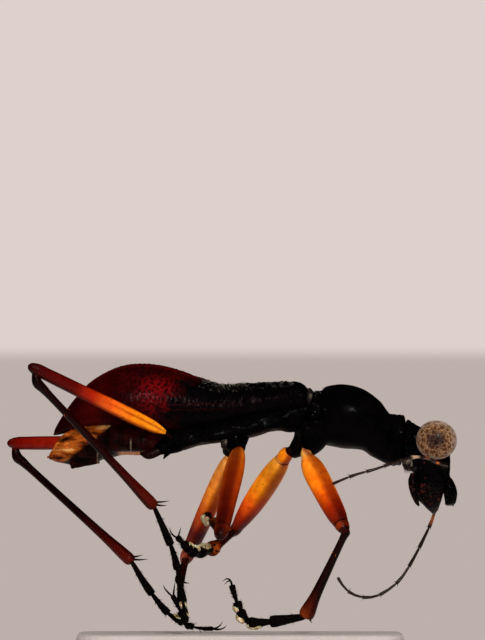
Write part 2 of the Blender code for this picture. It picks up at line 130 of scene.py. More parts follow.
# %% Moulding a plate from a ball
def moulded(rows, around, along, top_power=2.0, low_power=2.4, crowd=0.0):
    # crowd sets the ball's meridians closer on the lower side, where the section bends most
    padded = rounded_off(rows)
    bm = bmesh.new()
    bmesh.ops.create_uvsphere(bm, u_segments=around, v_segments=along, radius=1)
    sections = {}
    for vert in bm.verts:
        polar = round(math.acos(max(-1, min(1, -vert.co.z))) / math.pi, 5)
        if polar not in sections:
            sections[polar] = row_at(padded, polar * (len(rows) - 1))
        turn = math.atan2(vert.co.y, vert.co.x)
        vert.co = on_section(sections[polar], turn - crowd * math.cos(turn), top_power, low_power)
    bmesh.ops.recalc_face_normals(bm, faces=bm.faces)
    return bm


def on_section(row, turn, top_power=2.0, low_power=2.4):
    x, z, up, down, side, lean = row
    lean = math.radians(lean)
    power, reach = (top_power, up) if math.sin(turn) > 0 else (low_power, down)
    rise = math.copysign(abs(math.sin(turn)) ** (2 / power), math.sin(turn)) * max(reach, 0)
    wide = math.copysign(abs(math.cos(turn)) ** (2 / power), math.cos(turn)) * max(side, 0)
    return Vector((x - math.sin(lean) * rise, wide, z + math.cos(lean) * rise))


def carve(bm, relief):
    # Moves every point along its own normal by what the relief gives there
    bm.normal_update()
    moves = [(vert, vert.normal * relief(vert.co, vert.normal)) for vert in bm.verts]
    for vert, move in moves:
        vert.co += move


def lumps(spot, *layers):
    # Each layer is a height and a rate, the number of noise cells to the millimetre
    return sum(height * noise.noise(spot * rate) for height, rate in layers)


# %% [markdown]
# Legs, feelers and claws are drawn out like wire: a circle is extruded from point to point, and
# each new circle is turned and scaled to the path there. A number named along is kept on every
# point, from 0 at the root to 1 at the tip, so that a colour can follow the limb, and one named
# across runs from -1 on the lower edge to 1 on the upper edge.


# %% Drawing a limb
def turned(direction, hint):
    side = hint.cross(direction)
    if side.length < 1e-6:
        side = direction.orthogonal()
    side.normalize()
    up = direction.cross(side).normalized()
    return Matrix((side, up, direction)).transposed()


def draw_limb(bm, points, widths, sides=12, flat=1.0, hint=Vector((0, 0, 1)), span=(0.0, 1.0)):
    # flat is the thickness across the hint as a share of the width along it
    along = bm.verts.layers.float.get("along") or bm.verts.layers.float.new("along")
    across = bm.verts.layers.float.get("across") or bm.verts.layers.float.new("across")
    points = [Vector(point) for point in points]
    last = len(points) - 1
    travelled = [0.0]
    for here, there in zip(points, points[1:]):
        travelled.append(travelled[-1] + (there - here).length)
    previous = None
    frame_before = None
    for index, (point, width) in enumerate(zip(points, widths)):
        direction = (points[min(index + 1, last)] - points[max(index - 1, 0)]).normalized()
        here = Matrix.Translation(point) @ turned(direction, hint).to_4x4()
        here = here @ Matrix.Diagonal((width / 2, width / 2 * flat, width / 2, 1))
        if previous is None:
            made = bmesh.ops.create_circle(bm, segments=sides, radius=1, matrix=here)
            verts = made["verts"]
            edges = list({edge for vert in verts for edge in vert.link_edges})
            start = edges
        else:
            made = bmesh.ops.extrude_edge_only(bm, edges=previous)
            verts = [item for item in made["geom"] if isinstance(item, bmesh.types.BMVert)]
            edges = [item for item in made["geom"] if isinstance(item, bmesh.types.BMEdge)
                     and all(vert in verts for vert in item.verts)]
            bmesh.ops.transform(bm, matrix=here @ frame_before.inverted(), verts=verts)
        share = span[0] + (span[1] - span[0]) * travelled[index] / travelled[-1]
        for vert in verts:
            vert[along] = share
            vert[across] = (here.inverted() @ vert.co).y
        previous, frame_before = edges, here
    for rim in (start, previous):
        bmesh.ops.holes_fill(bm, edges=rim, sides=0)


def smooth_path(points, widths, steps):
    rows = straight_on([(*point, width) for point, width in zip(points, widths)])
    count = (len(points) - 1) * steps
    drawn = [row_at(rows, index / steps) for index in range(count + 1)]
    return [row[:3] for row in drawn], [max(row[3], 0.002) for row in drawn]


def draw_smooth(bm, points, widths, steps, **shape):
    draw_limb(bm, *smooth_path(points, widths, steps), **shape)


def mirrored(points, way):
    return [Vector(point) * Vector((1, way, 1)) for point in points]


def seal(bm):
    bmesh.ops.recalc_face_normals(bm, faces=bm.faces)
    return bm


# %% [markdown]
# Materials read the object's own coordinates. Because an insect is measured in millimetres, a
# Mapping node turns metres back into millimetres from the level of the feet, and every pattern
# below is then given in sizes that could be read off under a microscope. The short functions
# add nodes to any tree, and the class adds them to the tree of one material.


# %% Starting a material
def add_node(tree, kind, **settings):
    node = tree.nodes.new(kind)
    for setting, value in settings.items():
        setattr(node, setting, value)
    return node


def feed(tree, socket, value):
    # A socket is given either the output of another node or a fixed value
    if isinstance(value, bpy.types.NodeSocket):
        tree.links.new(value, socket)
    else:
        socket.default_value = value


def math_node(tree, operation, *values):
    node = add_node(tree, "ShaderNodeMath", operation=operation)
    for socket, value in zip(node.inputs, values):
        feed(tree, socket, value)
    return node.outputs[0]


def smooth_step(tree, value, low, high):
    node = add_node(tree, "ShaderNodeMapRange", interpolation_type="SMOOTHSTEP")
    for socket, given in (("Value", value), ("From Min", low), ("From Max", high)):
        feed(tree, node.inputs[socket], given)
    return node.outputs["Result"]


class Finish:
    def __init__(self, name, roughness, **values):
        self.material = bpy.data.materials.new(name)
        self.material.use_nodes = True
        self.tree = self.material.node_tree
        self.shader = self.tree.nodes["Principled BSDF"]
        self.shader.inputs["Roughness"].default_value = roughness
        for socket, value in values.items():
            self.shader.inputs[socket.replace("_", " ")].default_value = value
        place = self.add("ShaderNodeTexCoord")
        mapping = self.add("ShaderNodeMapping")
        mapping.inputs["Location"].default_value = -origin / MM
        mapping.inputs["Scale"].default_value = (1 / MM, 1 / MM, 1 / MM)
        self.link(place.outputs["Object"], mapping.inputs["Vector"])
        self.spot = mapping.outputs["Vector"]

    def add(self, kind, **settings):
        return add_node(self.tree, kind, **settings)

    def link(self, start, end):
        self.tree.links.new(start, end)

    def math(self, operation, *values):
        return math_node(self.tree, operation, *values)

    def times(self, first, *others):
        for other in others:
            first = self.math("MULTIPLY", first, other)
        return first

    def step(self, value, low, high):
        return smooth_step(self.tree, value, low, high)

    def split(self):
        node = self.add("ShaderNodeSeparateXYZ")
        self.link(self.spot, node.inputs[0])
        return node.outputs

    def distance(self, spot, centre):
        node = self.add("ShaderNodeVectorMath", operation="DISTANCE")
        node.inputs[1].default_value = centre
        self.link(spot, node.inputs[0])
        return node.outputs["Value"]

    def clouds(self, rate, detail, spot):
        node = self.add("ShaderNodeTexNoise")
        node.inputs["Scale"].default_value = rate
        node.inputs["Detail"].default_value = detail
        self.link(spot, node.inputs["Vector"])
        return node.outputs["Fac"]

    def attribute(self, name):
        return self.add("ShaderNodeAttribute", attribute_name=name).outputs["Fac"]

    def group(self, tree, **values):
        node = self.add("ShaderNodeGroup", node_tree=tree)
        self.link(self.spot, node.inputs["Spot"])
        for socket, value in values.items():
            node.inputs[socket].default_value = value
        return node

    def mix(self, share, first, second, blend="MIX"):
        node = self.add("ShaderNodeMix", data_type="RGBA", blend_type=blend)
        feed(self.tree, node.inputs[0], share)
        for socket, value in ((6, first), (7, second)):
            feed(self.tree, node.inputs[socket], (*value, 1) if isinstance(value, tuple) else value)
        return node.outputs[2]

    def ramp(self, value, stops):
        node = self.add("ShaderNodeValToRGB")
        elements = node.color_ramp.elements
        while len(elements) < len(stops):
            elements.new(0.5)
        for element, (place, colour) in zip(elements, stops):
            element.position = place
            element.color = (*colour, 1)
        self.link(value, node.inputs["Fac"])
        return node.outputs["Color"]

    def colour(self, output):
        self.link(output, self.shader.inputs["Base Color"])

    def bump(self, height, depth):
        node = self.add("ShaderNodeBump")
        node.inputs["Strength"].default_value = 1.0
        node.inputs["Distance"].default_value = depth * MM
        self.link(height, node.inputs["Height"])
        self.link(node.outputs["Normal"], self.shader.inputs["Normal"])

    def net_bump(self, rate, line, depth):
        self.bump(self.group(NET, Scale=rate, Line=line).outputs["Net"], depth)


# %% [markdown]
# Three effects come back on many pieces, so each is a node group with named sockets. Mottle
# gives soft clouds, net gives the polygon net of insect cuticle, and pores gives small pits.


# %% Node groups for cuticle
def start_group(name, inputs, outputs):
    tree = bpy.data.node_groups.new(name, "ShaderNodeTree")
    tree.interface.new_socket("Spot", in_out="INPUT", socket_type="NodeSocketVector")
    for socket, value in inputs.items():
        made = tree.interface.new_socket(socket, in_out="INPUT", socket_type="NodeSocketFloat")
        made.default_value = value
    for socket in outputs:
        tree.interface.new_socket(socket, in_out="OUTPUT", socket_type="NodeSocketFloat")
    entry = tree.nodes.new("NodeGroupInput")
    leave = tree.nodes.new("NodeGroupOutput")
    return tree, entry, leave


CLOUD_EDGES = (0.3, 0.7)


def make_mottle():
    tree, entry, leave = start_group("mottle", {"Size": 0.2}, ["Cloud", "Grain"])
    rate = math_node(tree, "DIVIDE", 1, entry.outputs["Size"])
    for output, factor, detail in (("Cloud", 1, 3), ("Grain", 7, 2)):
        cloud = add_node(tree, "ShaderNodeTexNoise")
        cloud.inputs["Detail"].default_value = detail
        tree.links.new(entry.outputs["Spot"], cloud.inputs["Vector"])
        tree.links.new(math_node(tree, "MULTIPLY", rate, factor), cloud.inputs["Scale"])
        tree.links.new(smooth_step(tree, cloud.outputs["Fac"], *CLOUD_EDGES), leave.inputs[output])
    return tree


def make_cells(name, feature, output, scale, limit, reach):
    # The output rises from 0 at a cell's edge or middle to 1 as far from it as the limit says
    tree, entry, leave = start_group(name, {"Scale": scale, limit: reach}, [output])
    cells = add_node(tree, "ShaderNodeTexVoronoi", feature=feature)
    tree.links.new(entry.outputs["Spot"], cells.inputs["Vector"])
    tree.links.new(entry.outputs["Scale"], cells.inputs["Scale"])
    share = smooth_step(tree, cells.outputs["Distance"], 0, entry.outputs[limit])
    tree.links.new(share, leave.inputs[output])
    return tree


MOTTLE = make_mottle()
NET = make_cells("net", "DISTANCE_TO_EDGE", "Net", 20.0, "Line", 0.08)
PORES = make_cells("pores", "F1", "Pore", 12.0, "Radius", 0.3)
print("node groups:", MOTTLE.name, NET.name, PORES.name)

# %% [markdown]
# Many finishes need no more than a cloudy change of colour and a fine grain. One function makes
# them all from a few values.


# %% Clouded finishes
def clouded(name, roughness, size, tones, grain=0.0, **values):
    # tones are two colours to mix, or the stops of a ramp; grain is the depth of the bump
    finish = Finish(name, roughness, **values)
    mottle = finish.group(MOTTLE, Size=size)
    cloud = mottle.outputs["Cloud"]
    finish.colour(finish.ramp(cloud, tones) if len(tones) > 2 else finish.mix(cloud, *tones))
    if grain:
        finish.bump(mottle.outputs["Grain"], grain)
    return finish.material


# %% [markdown]
# Black cuticle is nearly lightless, with a faint blue sheen and a hard gloss. A clear coat over
# a dark base keeps the highlights small and sharp, and a fine net in the bump breaks them up.


# %% Black cuticle
DEEPEST, BLACK = (0.0002, 0.0002, 0.0004), (0.0010, 0.0006, 0.0007)
# Red of the painted glints on the head
GLINT_RED = (0.055, 0.010, 0.007)


def black_cuticle(name, roughness, net_rate, depth, gloss=0.016, glinted=False):
    finish = Finish(name, roughness, Specular_IOR_Level=gloss, Coat_Weight=0.006, Coat_Roughness=0.12)
    black = finish.mix(finish.group(MOTTLE, Size=0.5).outputs["Cloud"], DEEPEST, BLACK)
    if glinted:
        # Small red flecks here and there are painted glints
        glints = finish.group(PORES, Scale=5.5, Radius=0.17)
        black = finish.mix(glints.outputs["Pore"], GLINT_RED, black)
    finish.colour(black)
    finish.net_bump(net_rate, 0.12, depth)
    return finish.material


CHEST_BLACK = black_cuticle("chest_black", 0.26, 30.0, 0.003)
HEAD_BLACK = black_cuticle("head_black", 0.22, 20.0, 0.012, gloss=0.03, glinted=True)
UNDER_BLACK = black_cuticle("under_black", 0.30, 16.0, 0.003, gloss=0.008)

# %% [markdown]
# The wing cases are one domed lid, widest behind the middle and drawn in to a waist in front.
# Behind they are deep maroon with fine round pits; in front they turn black and the pits run
# together into cross wrinkles. Both are carved into the mesh, because the edge of the wrinkles
# shows against the light, and the pits catch it.

# %% Wing case sizes
ELYTRA = (
    (-3.55, 3.84, 0.00, 0.00, 0.00, 0),
    (-3.45, 3.93, 0.14, 0.10, 0.14, 0),
    (-3.17, 4.08, 0.40, 0.18, 0.42, 0),
    (-2.80, 4.23, 0.64, 0.28, 0.67, 0),
    (-2.25, 4.32, 0.83, 0.37, 0.84, 0),
    (-1.70, 4.33, 0.87, 0.43, 0.82, 0),
    (-1.16, 4.30, 0.80, 0.42, 0.73, 0),
    (-0.69, 4.28, 0.65, 0.35, 0.66, 0),
    (-0.24, 4.30, 0.50, 0.27, 0.61, 0),
    (0.24, 4.38, 0.44, 0.22, 0.57, 0),
    (0.84, 4.47, 0.37, 0.20, 0.51, 0),
    (1.18, 4.52, 0.32, 0.18, 0.47, 0),
    (1.36, 4.54, 0.24, 0.14, 0.38, 0),
    (1.46, 4.55, 0.00, 0.00, 0.00, 0),
)
ELYTRA_LOW_POWER = 3.2                  # the folded edge is squarer than an ellipse
PIT_SPACING = 0.090
PIT_CORE, PIT_RADIUS = 0.16, 0.40       # shares of the spacing
PIT_JITTER = 0.75
PIT_DEPTH = 0.006
PITS_FROM, PITS_FULL = -3.2, -1.9
PITS_SHALLOW_FROM, PITS_SHALLOW = -0.9, 0.2
HUMP_RADIUS, HUMP_AXIS = 0.85, 4.30
WRINKLE_DEPTH = 0.020
WRINKLES_FROM, WRINKLES_FULL = -1.1, -0.1
WRINKLE_SWIRL, SWIRL_RATE = 0.10, 5.0
WRINKLE_RATES = Vector((11.0, 3.6, 3.6))
FINE_RATES = Vector((26, 12, 12))
SUTURE_WIDTH = 0.022
SUTURE_DEPTH = 0.020


def ease(value, low, high):
    share = max(0.0, min(1.0, (value - low) / (high - low)))
    return share * share * (3 - 2 * share)


def puncture(spot):
    # Staggered rows, counted along the body and around the hump, each pit a little off its place
    along = spot.x / PIT_SPACING
    around = math.atan2(spot.y, spot.z - HUMP_AXIS) * HUMP_RADIUS / PIT_SPACING
    nearest = 1.0
    for row in (math.floor(along), math.floor(along) + 1):
        shift = 0.5 * (row % 2)
        first = math.floor(around - shift)
        for column in (first, first + 1):
            stray = noise.cell_vector(Vector((row + 0.5, column + 0.5, 0.5))) * PIT_JITTER
            nearest = min(nearest, math.hypot(
                along - row - stray.x, around - column - shift - stray.y))
    return 1 - ease(nearest, PIT_CORE, PIT_RADIUS)


def wing_relief(spot, normal):
    shallow = 1 - 0.5 * ease(spot.x, PITS_SHALLOW_FROM, PITS_SHALLOW)
    depth = -PIT_DEPTH * ease(spot.x, PITS_FROM, PITS_FULL) * shallow * puncture(spot)
    rough = ease(spot.x, WRINKLES_FROM, WRINKLES_FULL)
    if rough > 0:
        swirl = noise.noise(spot * SWIRL_RATE) * WRINKLE_SWIRL
        ridge = 1 - abs(noise.noise((spot + Vector((swirl, 0, 0))) * WRINKLE_RATES)) * 2.2
        fine = noise.noise(spot * FINE_RATES)
        depth += rough * WRINKLE_DEPTH * (ridge - 0.75 + 0.25 * fine)
    if normal.z > 0.2:
        depth -= SUTURE_DEPTH * math.exp(-(spot.y / SUTURE_WIDTH) ** 2)
    return depth


# %% [markdown]
# The maroon reaches forward in a ragged point along the seam. Its edge is a line in X that
# falls back towards the sides, shaken by a noise, and a second narrow tongue follows the seam.
# Over the maroon lie clearer and darker reds, each with its own place: a darker crown, which is
# painted shade, a clear red patch on the hump, which is a painted highlight, then the shade black
# and last the dark pits.


# %% Wing case finish
MAROON = ((0.014, 0.0002, 0.0002), (0.034, 0.0005, 0.0005))
# Painted shade: the crown of the hump is a darker red, for the top edge that turns away from the light
CROWN_SHADE_RED = (0.016, 0.0005, 0.0005)
BACK_RED = (0.055, 0.0012, 0.0010)
FLANK_RED = (0.060, 0.0012, 0.0012)
# Painted highlight: a clear red patch where the hump faces the key lamp
HIGHLIGHT_RED = (0.125, 0.0018, 0.0028)
SHADE_BLACK = (0.006, 0.0004, 0.0006)
PIT_BLACK = (0.0030, 0.0002, 0.0002)
WAIST_BLACK = (0.0005, 0.0005, 0.0007)
EDGE_SLANT, EDGE_SHAKE = 1.15, 0.9
KEELS = (4.36, 4.46)
KEEL_SHAKE, KEEL_STRENGTH = 0.10, 0.30
# Middles of the flank red and of the painted highlight patch
FLANK_MIDDLE, HIGHLIGHT_MIDDLE = (-2.95, 0.60, 4.04), (-1.55, 0.77, 4.55)
DARK_PITS_FROM, DARK_PITS_FULL, FAINT_PITS = -2.9, -2.0, 0.25


def wing_case_finish():
    finish = Finish("wing_case_maroon", 0.28, Specular_IOR_Level=0.03, Coat_Weight=0.004,
                    Coat_Roughness=0.15, Specular_Tint=(1.0, 0.42, 0.42, 1.0))
    x, y, z = finish.split()
    aside = finish.math("ABSOLUTE", y)
    ragged = finish.clouds(4.5, 5, finish.spot)
    slanted = finish.math("ADD", x, finish.times(aside, EDGE_SLANT))
    shaken = finish.math("ADD", slanted, finish.times(ragged, EDGE_SHAKE))
    tongue = finish.times(finish.step(aside, 0.045, 0.02), finish.step(x, 0.15, -0.1))
    front = finish.math("SUBTRACT", finish.step(shaken, -0.22, 0.16), tongue)
    # Thin red keels run along the side, just above the folded edge
    level = finish.math("ADD", z, finish.times(ragged, KEEL_SHAKE))
    for height in KEELS:
        away = finish.math("ABSOLUTE", finish.math("SUBTRACT", level, height))
        keel = finish.times(finish.step(away, 0.022, 0.006), finish.step(x, 0.3, -0.5), KEEL_STRENGTH)
        front = finish.math("SUBTRACT", front, keel)
    rim = finish.times(finish.step(aside, 0.60, 0.86), 0.75)
    dark = finish.math("MAXIMUM", rim, finish.step(x, -2.55, -3.4))
    dark = finish.math("MAXIMUM", dark, finish.step(z, 4.16, 3.86))
    both_sides = finish.add("ShaderNodeCombineXYZ")
    for start, end in zip((x, aside, z), both_sides.inputs):
        finish.link(start, end)
    from_flank, from_highlight = (
        finish.distance(both_sides.outputs[0], middle) for middle in (FLANK_MIDDLE, HIGHLIGHT_MIDDLE))
    red = finish.mix(finish.group(MOTTLE, Size=0.35).outputs["Cloud"], *MAROON)
    for share, colour in (
            # painted shade on the crown
            (finish.step(z, 4.86, 5.16), CROWN_SHADE_RED),
            (finish.step(aside, 0.40, 0.14), BACK_RED),
            (finish.step(from_flank, 0.60, 0.15), FLANK_RED),
            # painted highlight on the hump
            (finish.step(from_highlight, 0.56, 0.12), HIGHLIGHT_RED),
            (finish.times(dark, 0.85), SHADE_BLACK),
            (finish.attribute("pit"), PIT_BLACK)):
        red = finish.mix(share, red, colour)
    finish.colour(finish.mix(front, red, WAIST_BLACK))
    finish.net_bump(26.0, 0.15, 0.003)
    return finish.material


def make_wing_cases():
    around, along = ((220, 400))
    bm = moulded(ELYTRA, around, along, low_power=ELYTRA_LOW_POWER, crowd=0.25)
    layer = bm.verts.layers.float.new("pit")
    for vert in bm.verts:
        clear = FAINT_PITS + (1 - FAINT_PITS) * ease(vert.co.x, DARK_PITS_FROM, DARK_PITS_FULL)
        vert[layer] = puncture(vert.co) * clear
    carve(bm, wing_relief)
    finish_piece("wing_cases", bm, wing_case_finish(), "wing_case_maroon", "elytra")


make_wing_cases()

# %% [markdown]
# Under the lid lies the abdomen, six overlapping rings that dried out and drew together. Each
# ring is a little fuller at its rear edge, the black plates have pale rims, and the last rings
# have gone tan and translucent.

# %% Abdomen sizes
ABDOMEN = (
    (-3.66, 3.38, 0.00, 0.00, 0.00, 0),
    (-3.56, 3.42, 0.12, 0.12, 0.18, 0),
    (-3.22, 3.58, 0.34, 0.36, 0.42, 0),
    (-2.80, 3.70, 0.44, 0.45, 0.62, 0),
    (-2.30, 3.70, 0.48, 0.30, 0.72, 0),
    (-1.85, 3.66, 0.48, 0.26, 0.70, 0),
    (-1.45, 3.64, 0.40, 0.20, 0.58, 0),
    (-1.25, 3.64, 0.00, 0.00, 0.00, 0),
)
RING_LENGTH = 0.40
RING_STEP = 0.035
RING_LEAN = 0.12
RING_LINES = ((-2.69, 3.46), (-2.04, 3.70))     # place and upper end of pale skin between plates
LINE_WIDTH, LINE_FADE = 0.025, 0.04
ABDOMEN_LUMPS = ((0.030, 4.0), (0.012, 13.0))
# The last plates stand off the shrunken rings: their points, widths and flatness
LAST_PLATES = (
    (((-2.70, 0.34, 3.45), (-2.96, 0.33, 3.38), (-3.14, 0.28, 3.24), (-3.20, 0.26, 3.15)),
     (0.42, 0.40, 0.22, 0.04), 0.3),
    (((-3.00, 0.26, 3.84), (-3.30, 0.22, 3.66), (-3.62, 0.08, 3.38)), (0.30, 0.34, 0.04), 0.2),
)
TIP_SLOPE, TIP_EDGE = -0.786, (5.86, 5.98)
PLATE_BLACK, PLATE_RED = (0.0008, 0.0002, 0.0002), (0.0130, 0.0009, 0.0006)
SKIN_LINE, SKIN_STRIP = (0.12, 0.085, 0.06), (0.58, 0.25, 0.10)
# Pale tan of the dried tip; the dark low end of the ramp is painted shadow between the flaps
TAN_AND_SHADOW_STOPS = [
    (0.36, (0.010, 0.002, 0.001)), (0.44, (0.15, 0.026, 0.003)), (0.56, (0.38, 0.085, 0.008)),
    (0.68, (0.62, 0.30, 0.09))]


def abdomen_relief(spot, normal):
    along = (spot.x - ABDOMEN[0][0] + RING_LEAN * (spot.z - 3.4)) / RING_LENGTH
    edge = RING_STEP * (0.5 - along % 1)
    return (edge if normal.z < 0.7 else 0) + lumps(spot, *ABDOMEN_LUMPS)


def abdomen_finish():
    finish = Finish("abdomen_brown", 0.30, Specular_IOR_Level=0.03, Coat_Weight=0.008,
                    Coat_Roughness=0.2, Subsurface_Weight=0.25, Subsurface_Scale=0.06 * MM)
    x, _, z = finish.split()
    mottle = finish.group(MOTTLE, Size=0.22)
    # Streaks climb towards the rear between the last plates: their pale parts are the tan skin,
    # their dark parts painted shadow in the gaps between the flaps
    streaks = finish.add("ShaderNodeMapping")
    streaks.inputs["Rotation"].default_value = (0, math.radians(-38), 0)
    streaks.inputs["Scale"].default_value = (2.2, 2.0, 9.0)
    finish.link(finish.spot, streaks.inputs["Vector"])
    tan_and_shadow = finish.ramp(finish.clouds(1.0, 3, streaks.outputs["Vector"]), TAN_AND_SHADOW_STOPS)
    plates = finish.mix(mottle.outputs["Cloud"], PLATE_BLACK, PLATE_RED)
    for place, height in RING_LINES:
        line = finish.times(
            finish.step(x, place - LINE_WIDTH, place), finish.step(x, place + LINE_WIDTH, place),
            finish.step(z, height + LINE_FADE, height - LINE_FADE))
        plates = finish.mix(line, plates, SKIN_LINE)
    strip = finish.times(finish.step(z, 3.50, 3.45), finish.step(x, -2.34, -2.20))
    plates = finish.mix(strip, plates, SKIN_STRIP)
    # The dried tip is pale above a line that climbs forward from the last ring
    tip = finish.step(finish.math("MULTIPLY_ADD", x, TIP_SLOPE, z), *TIP_EDGE)
    finish.colour(finish.mix(tip, plates, tan_and_shadow))
    finish.bump(mottle.outputs["Grain"], 0.01)
    return finish.material


def make_abdomen():
    bm = moulded(ABDOMEN, 96, 150, low_power=2.2)
    carve(bm, abdomen_relief)
    for way in (-1, 1):
        for points, widths, flat in LAST_PLATES:
            draw_smooth(bm, mirrored(points, way), widths, 4, sides=14, flat=flat,
                        hint=Vector((0, 1, 0)))
    finish_piece("abdomen_rings", seal(bm), abdomen_finish(), "abdomen_brown", "abdomen")


make_abdomen()

# %% [markdown]
# The two rear rings of the chest carry the middle and hind legs, and are one plate below. The
# coxae, in which the legs turn, are short stubs that taper out of the plates.

# %% Chest sizes
PTEROTHORAX = (
    (-1.42, 3.62, 0.00, 0.00, 0.00, 0),
    (-1.24, 3.63, 0.44, 0.16, 0.54, 0),
    (-0.67, 3.70, 0.46, 0.10, 0.62, 0),
    (-0.12, 3.82, 0.46, 0.12, 0.59, 0),
    (0.40, 3.94, 0.46, 0.16, 0.54, 0),
    (0.84, 4.05, 0.46, 0.16, 0.48, 0),
    (1.14, 4.12, 0.46, 0.26, 0.44, -8),
    (1.42, 4.20, 0.44, 0.30, 0.38, -12),
    (1.60, 4.20, 0.00, 0.00, 0.00, -12),
)
PROTHORAX = (
    (1.36, 4.16, 0.00, 0.00, 0.00, -12),
    (1.42, 4.16, 0.46, 0.42, 0.45, -12),
    (1.53, 4.17, 0.51, 0.50, 0.50, -10),
    (1.64, 4.18, 0.50, 0.56, 0.46, -6),
    (1.80, 4.18, 0.58, 0.58, 0.56, 0),
    (2.12, 4.18, 0.62, 0.64, 0.64, 0),
    (2.48, 4.14, 0.58, 0.63, 0.61, 0),
    (2.76, 4.00, 0.49, 0.62, 0.49, -8),
    (2.95, 3.87, 0.38, 0.58, 0.37, -10),
    (3.10, 3.81, 0.40, 0.60, 0.46, -6),
    (3.22, 3.78, 0.42, 0.57, 0.50, -4),
    (3.30, 3.76, 0.39, 0.50, 0.44, -4),
    (3.315, 3.75, 0.00, 0.00, 0.00, -4),
)
COXAE = {
    "front_right": ((1.56, -0.16, 3.98), (1.53, -0.26, 3.70), (1.44, -0.42, 3.46)),
    "front_left": ((1.52, 0.16, 3.98), (1.40, 0.26, 3.70), (1.12, 0.46, 3.44)),
    "middle_right": ((0.00, -0.16, 3.95), (0.00, -0.30, 3.70), (0.06, -0.47, 3.52)),
    "middle_left": ((0.00, 0.16, 3.95), (-0.02, 0.30, 3.68), (-0.10, 0.46, 3.44)),
    "hind_right": ((-1.10, -0.22, 3.80), (-1.20, -0.42, 3.66), (-1.50, -0.66, 3.52)),
    "hind_left": ((-1.10, 0.22, 3.80), (-1.20, 0.42, 3.66), (-1.44, 0.70, 3.62)),
}
COXA_WIDTHS = {"front": (0.80, 0.56, 0.24), "middle": (0.66, 0.52, 0.30), "hind": (0.60, 0.44, 0.22)}
HIND_POINT = ((-1.22, 0.50, 3.62), (-1.40, 0.58, 3.34))
HIND_POINT_WIDTH = 0.26
CHEST_LUMPS = ((0.018, 4.2), (0.006, 15))
CHEST_GROOVES = 0.010
COLLAR_WRINKLES, COLLAR_RATES = 0.018, Vector((14, 5, 5))
CHEST_FURROW, FURROW_WIDTH = 0.008, 0.02


def draw_coxae(bm, pairs):
    for name, points in COXAE.items():
        pair = name.split("_")[0]
        if pair in pairs:
            draw_smooth(bm, points, COXA_WIDTHS[pair], 5, sides=20, hint=Vector((0, 1, 0)))


def add_ball(bm, centre, radii, segments=28):
    place = Matrix.Translation(centre) @ Matrix.Diagonal((*radii, 1))
    bmesh.ops.create_uvsphere(bm, u_segments=segments, v_segments=segments // 2, radius=1,
                              matrix=place)


def add_cone(bm, root, tip, width, sides=6):
    axis = Vector(tip) - Vector(root)
    place = Matrix.Translation((Vector(root) + Vector(tip)) / 2)
    place = place @ axis.to_track_quat("Z", "Y").to_matrix().to_4x4()
    bmesh.ops.create_cone(bm, cap_ends=True, segments=sides, radius1=width / 2,
                          radius2=width * 0.04, depth=axis.length, matrix=place)


def chest_relief(spot, normal):
    grooves = CHEST_GROOVES * math.sin(spot.x * 9 + 3 * spot.z) * (1 if normal.z < 0.3 else 0)
    return grooves + lumps(spot, *CHEST_LUMPS)


def collar_relief(spot, normal):
    # Crowded cross wrinkles on both collars, and a smooth polished bulb between them
    collar = ease(spot.x, 1.72, 1.55) + ease(spot.x, 2.85, 3.0)
    wrinkle = COLLAR_WRINKLES * noise.noise(spot * COLLAR_RATES)
    furrow = CHEST_FURROW * math.exp(-(spot.y / FURROW_WIDTH) ** 2) * (1 if normal.z > 0.3 else 0)
    return collar * wrinkle + lumps(spot, (0.004, 6)) - furrow


def make_chest():
    bm = moulded(PTEROTHORAX, 110, 150)
    carve(bm, chest_relief)
    draw_coxae(bm, ("middle", "hind"))
    for way in (-1, 1):
        add_cone(bm, *mirrored(HIND_POINT, way), HIND_POINT_WIDTH, 8)
    finish_piece("chest_rear", seal(bm), UNDER_BLACK, "cuticle_black", "pterothorax")
    bm = moulded(PROTHORAX, 120, 180)
    carve(bm, collar_relief)
    draw_coxae(bm, ("front",))
    finish_piece("chest_front", seal(bm), CHEST_BLACK, "cuticle_black", "prothorax")


make_chest()

# %% [markdown]
# The head hangs down in front, as it does in a dried tiger beetle. It is moulded along a line
# that bends from level at the neck to almost upright at the mouth.

# %% Head sizes
HEAD = (
    (3.325, 3.75, 0.00, 0.00, 0.00, -6),
    (3.335, 3.75, 0.35, 0.45, 0.38, -6),
    (3.44, 3.72, 0.32, 0.46, 0.46, -8),
    (3.56, 3.68, 0.28, 0.53, 0.50, -12),
    (3.76, 3.60, 0.32, 0.62, 0.56, -24),
    (3.92, 3.43, 0.34, 0.62, 0.54, -45),
    (3.99, 3.20, 0.25, 0.58, 0.48, -68),
    (4.00, 3.00, 0.22, 0.57, 0.44, -78),
    (4.01, 2.86, 0.20, 0.50, 0.38, -82),
    (4.00, 2.74, 0.16, 0.36, 0.30, -84),
    (3.97, 2.68, 0.00, 0.00, 0.00, -84),
)
HEAD_LUMPS = ((0.022, 6), (0.010, 19))
BROW_FURROWS, FURROW_RATE = 0.010, 60


def head_relief(spot, normal):
    furrows = BROW_FURROWS * math.sin(spot.y * FURROW_RATE) * ease(spot.z, 3.5, 3.8)
    return furrows + lumps(spot, *HEAD_LUMPS)


def make_head():
    bm = moulded(HEAD, 110, 150)
    carve(bm, head_relief)
    finish_piece("head_capsule", bm, HEAD_BLACK, "cuticle_black", "head")


make_head()

# %% [markdown]
# The eyes are the beetle's largest feature. Dried, they show a pale net over brown, a dark
# false pupil in the middle and a clear pale rim. The pattern is worked out from the distance to
# the middle of the eye, and the facets are a fine net in the bump.


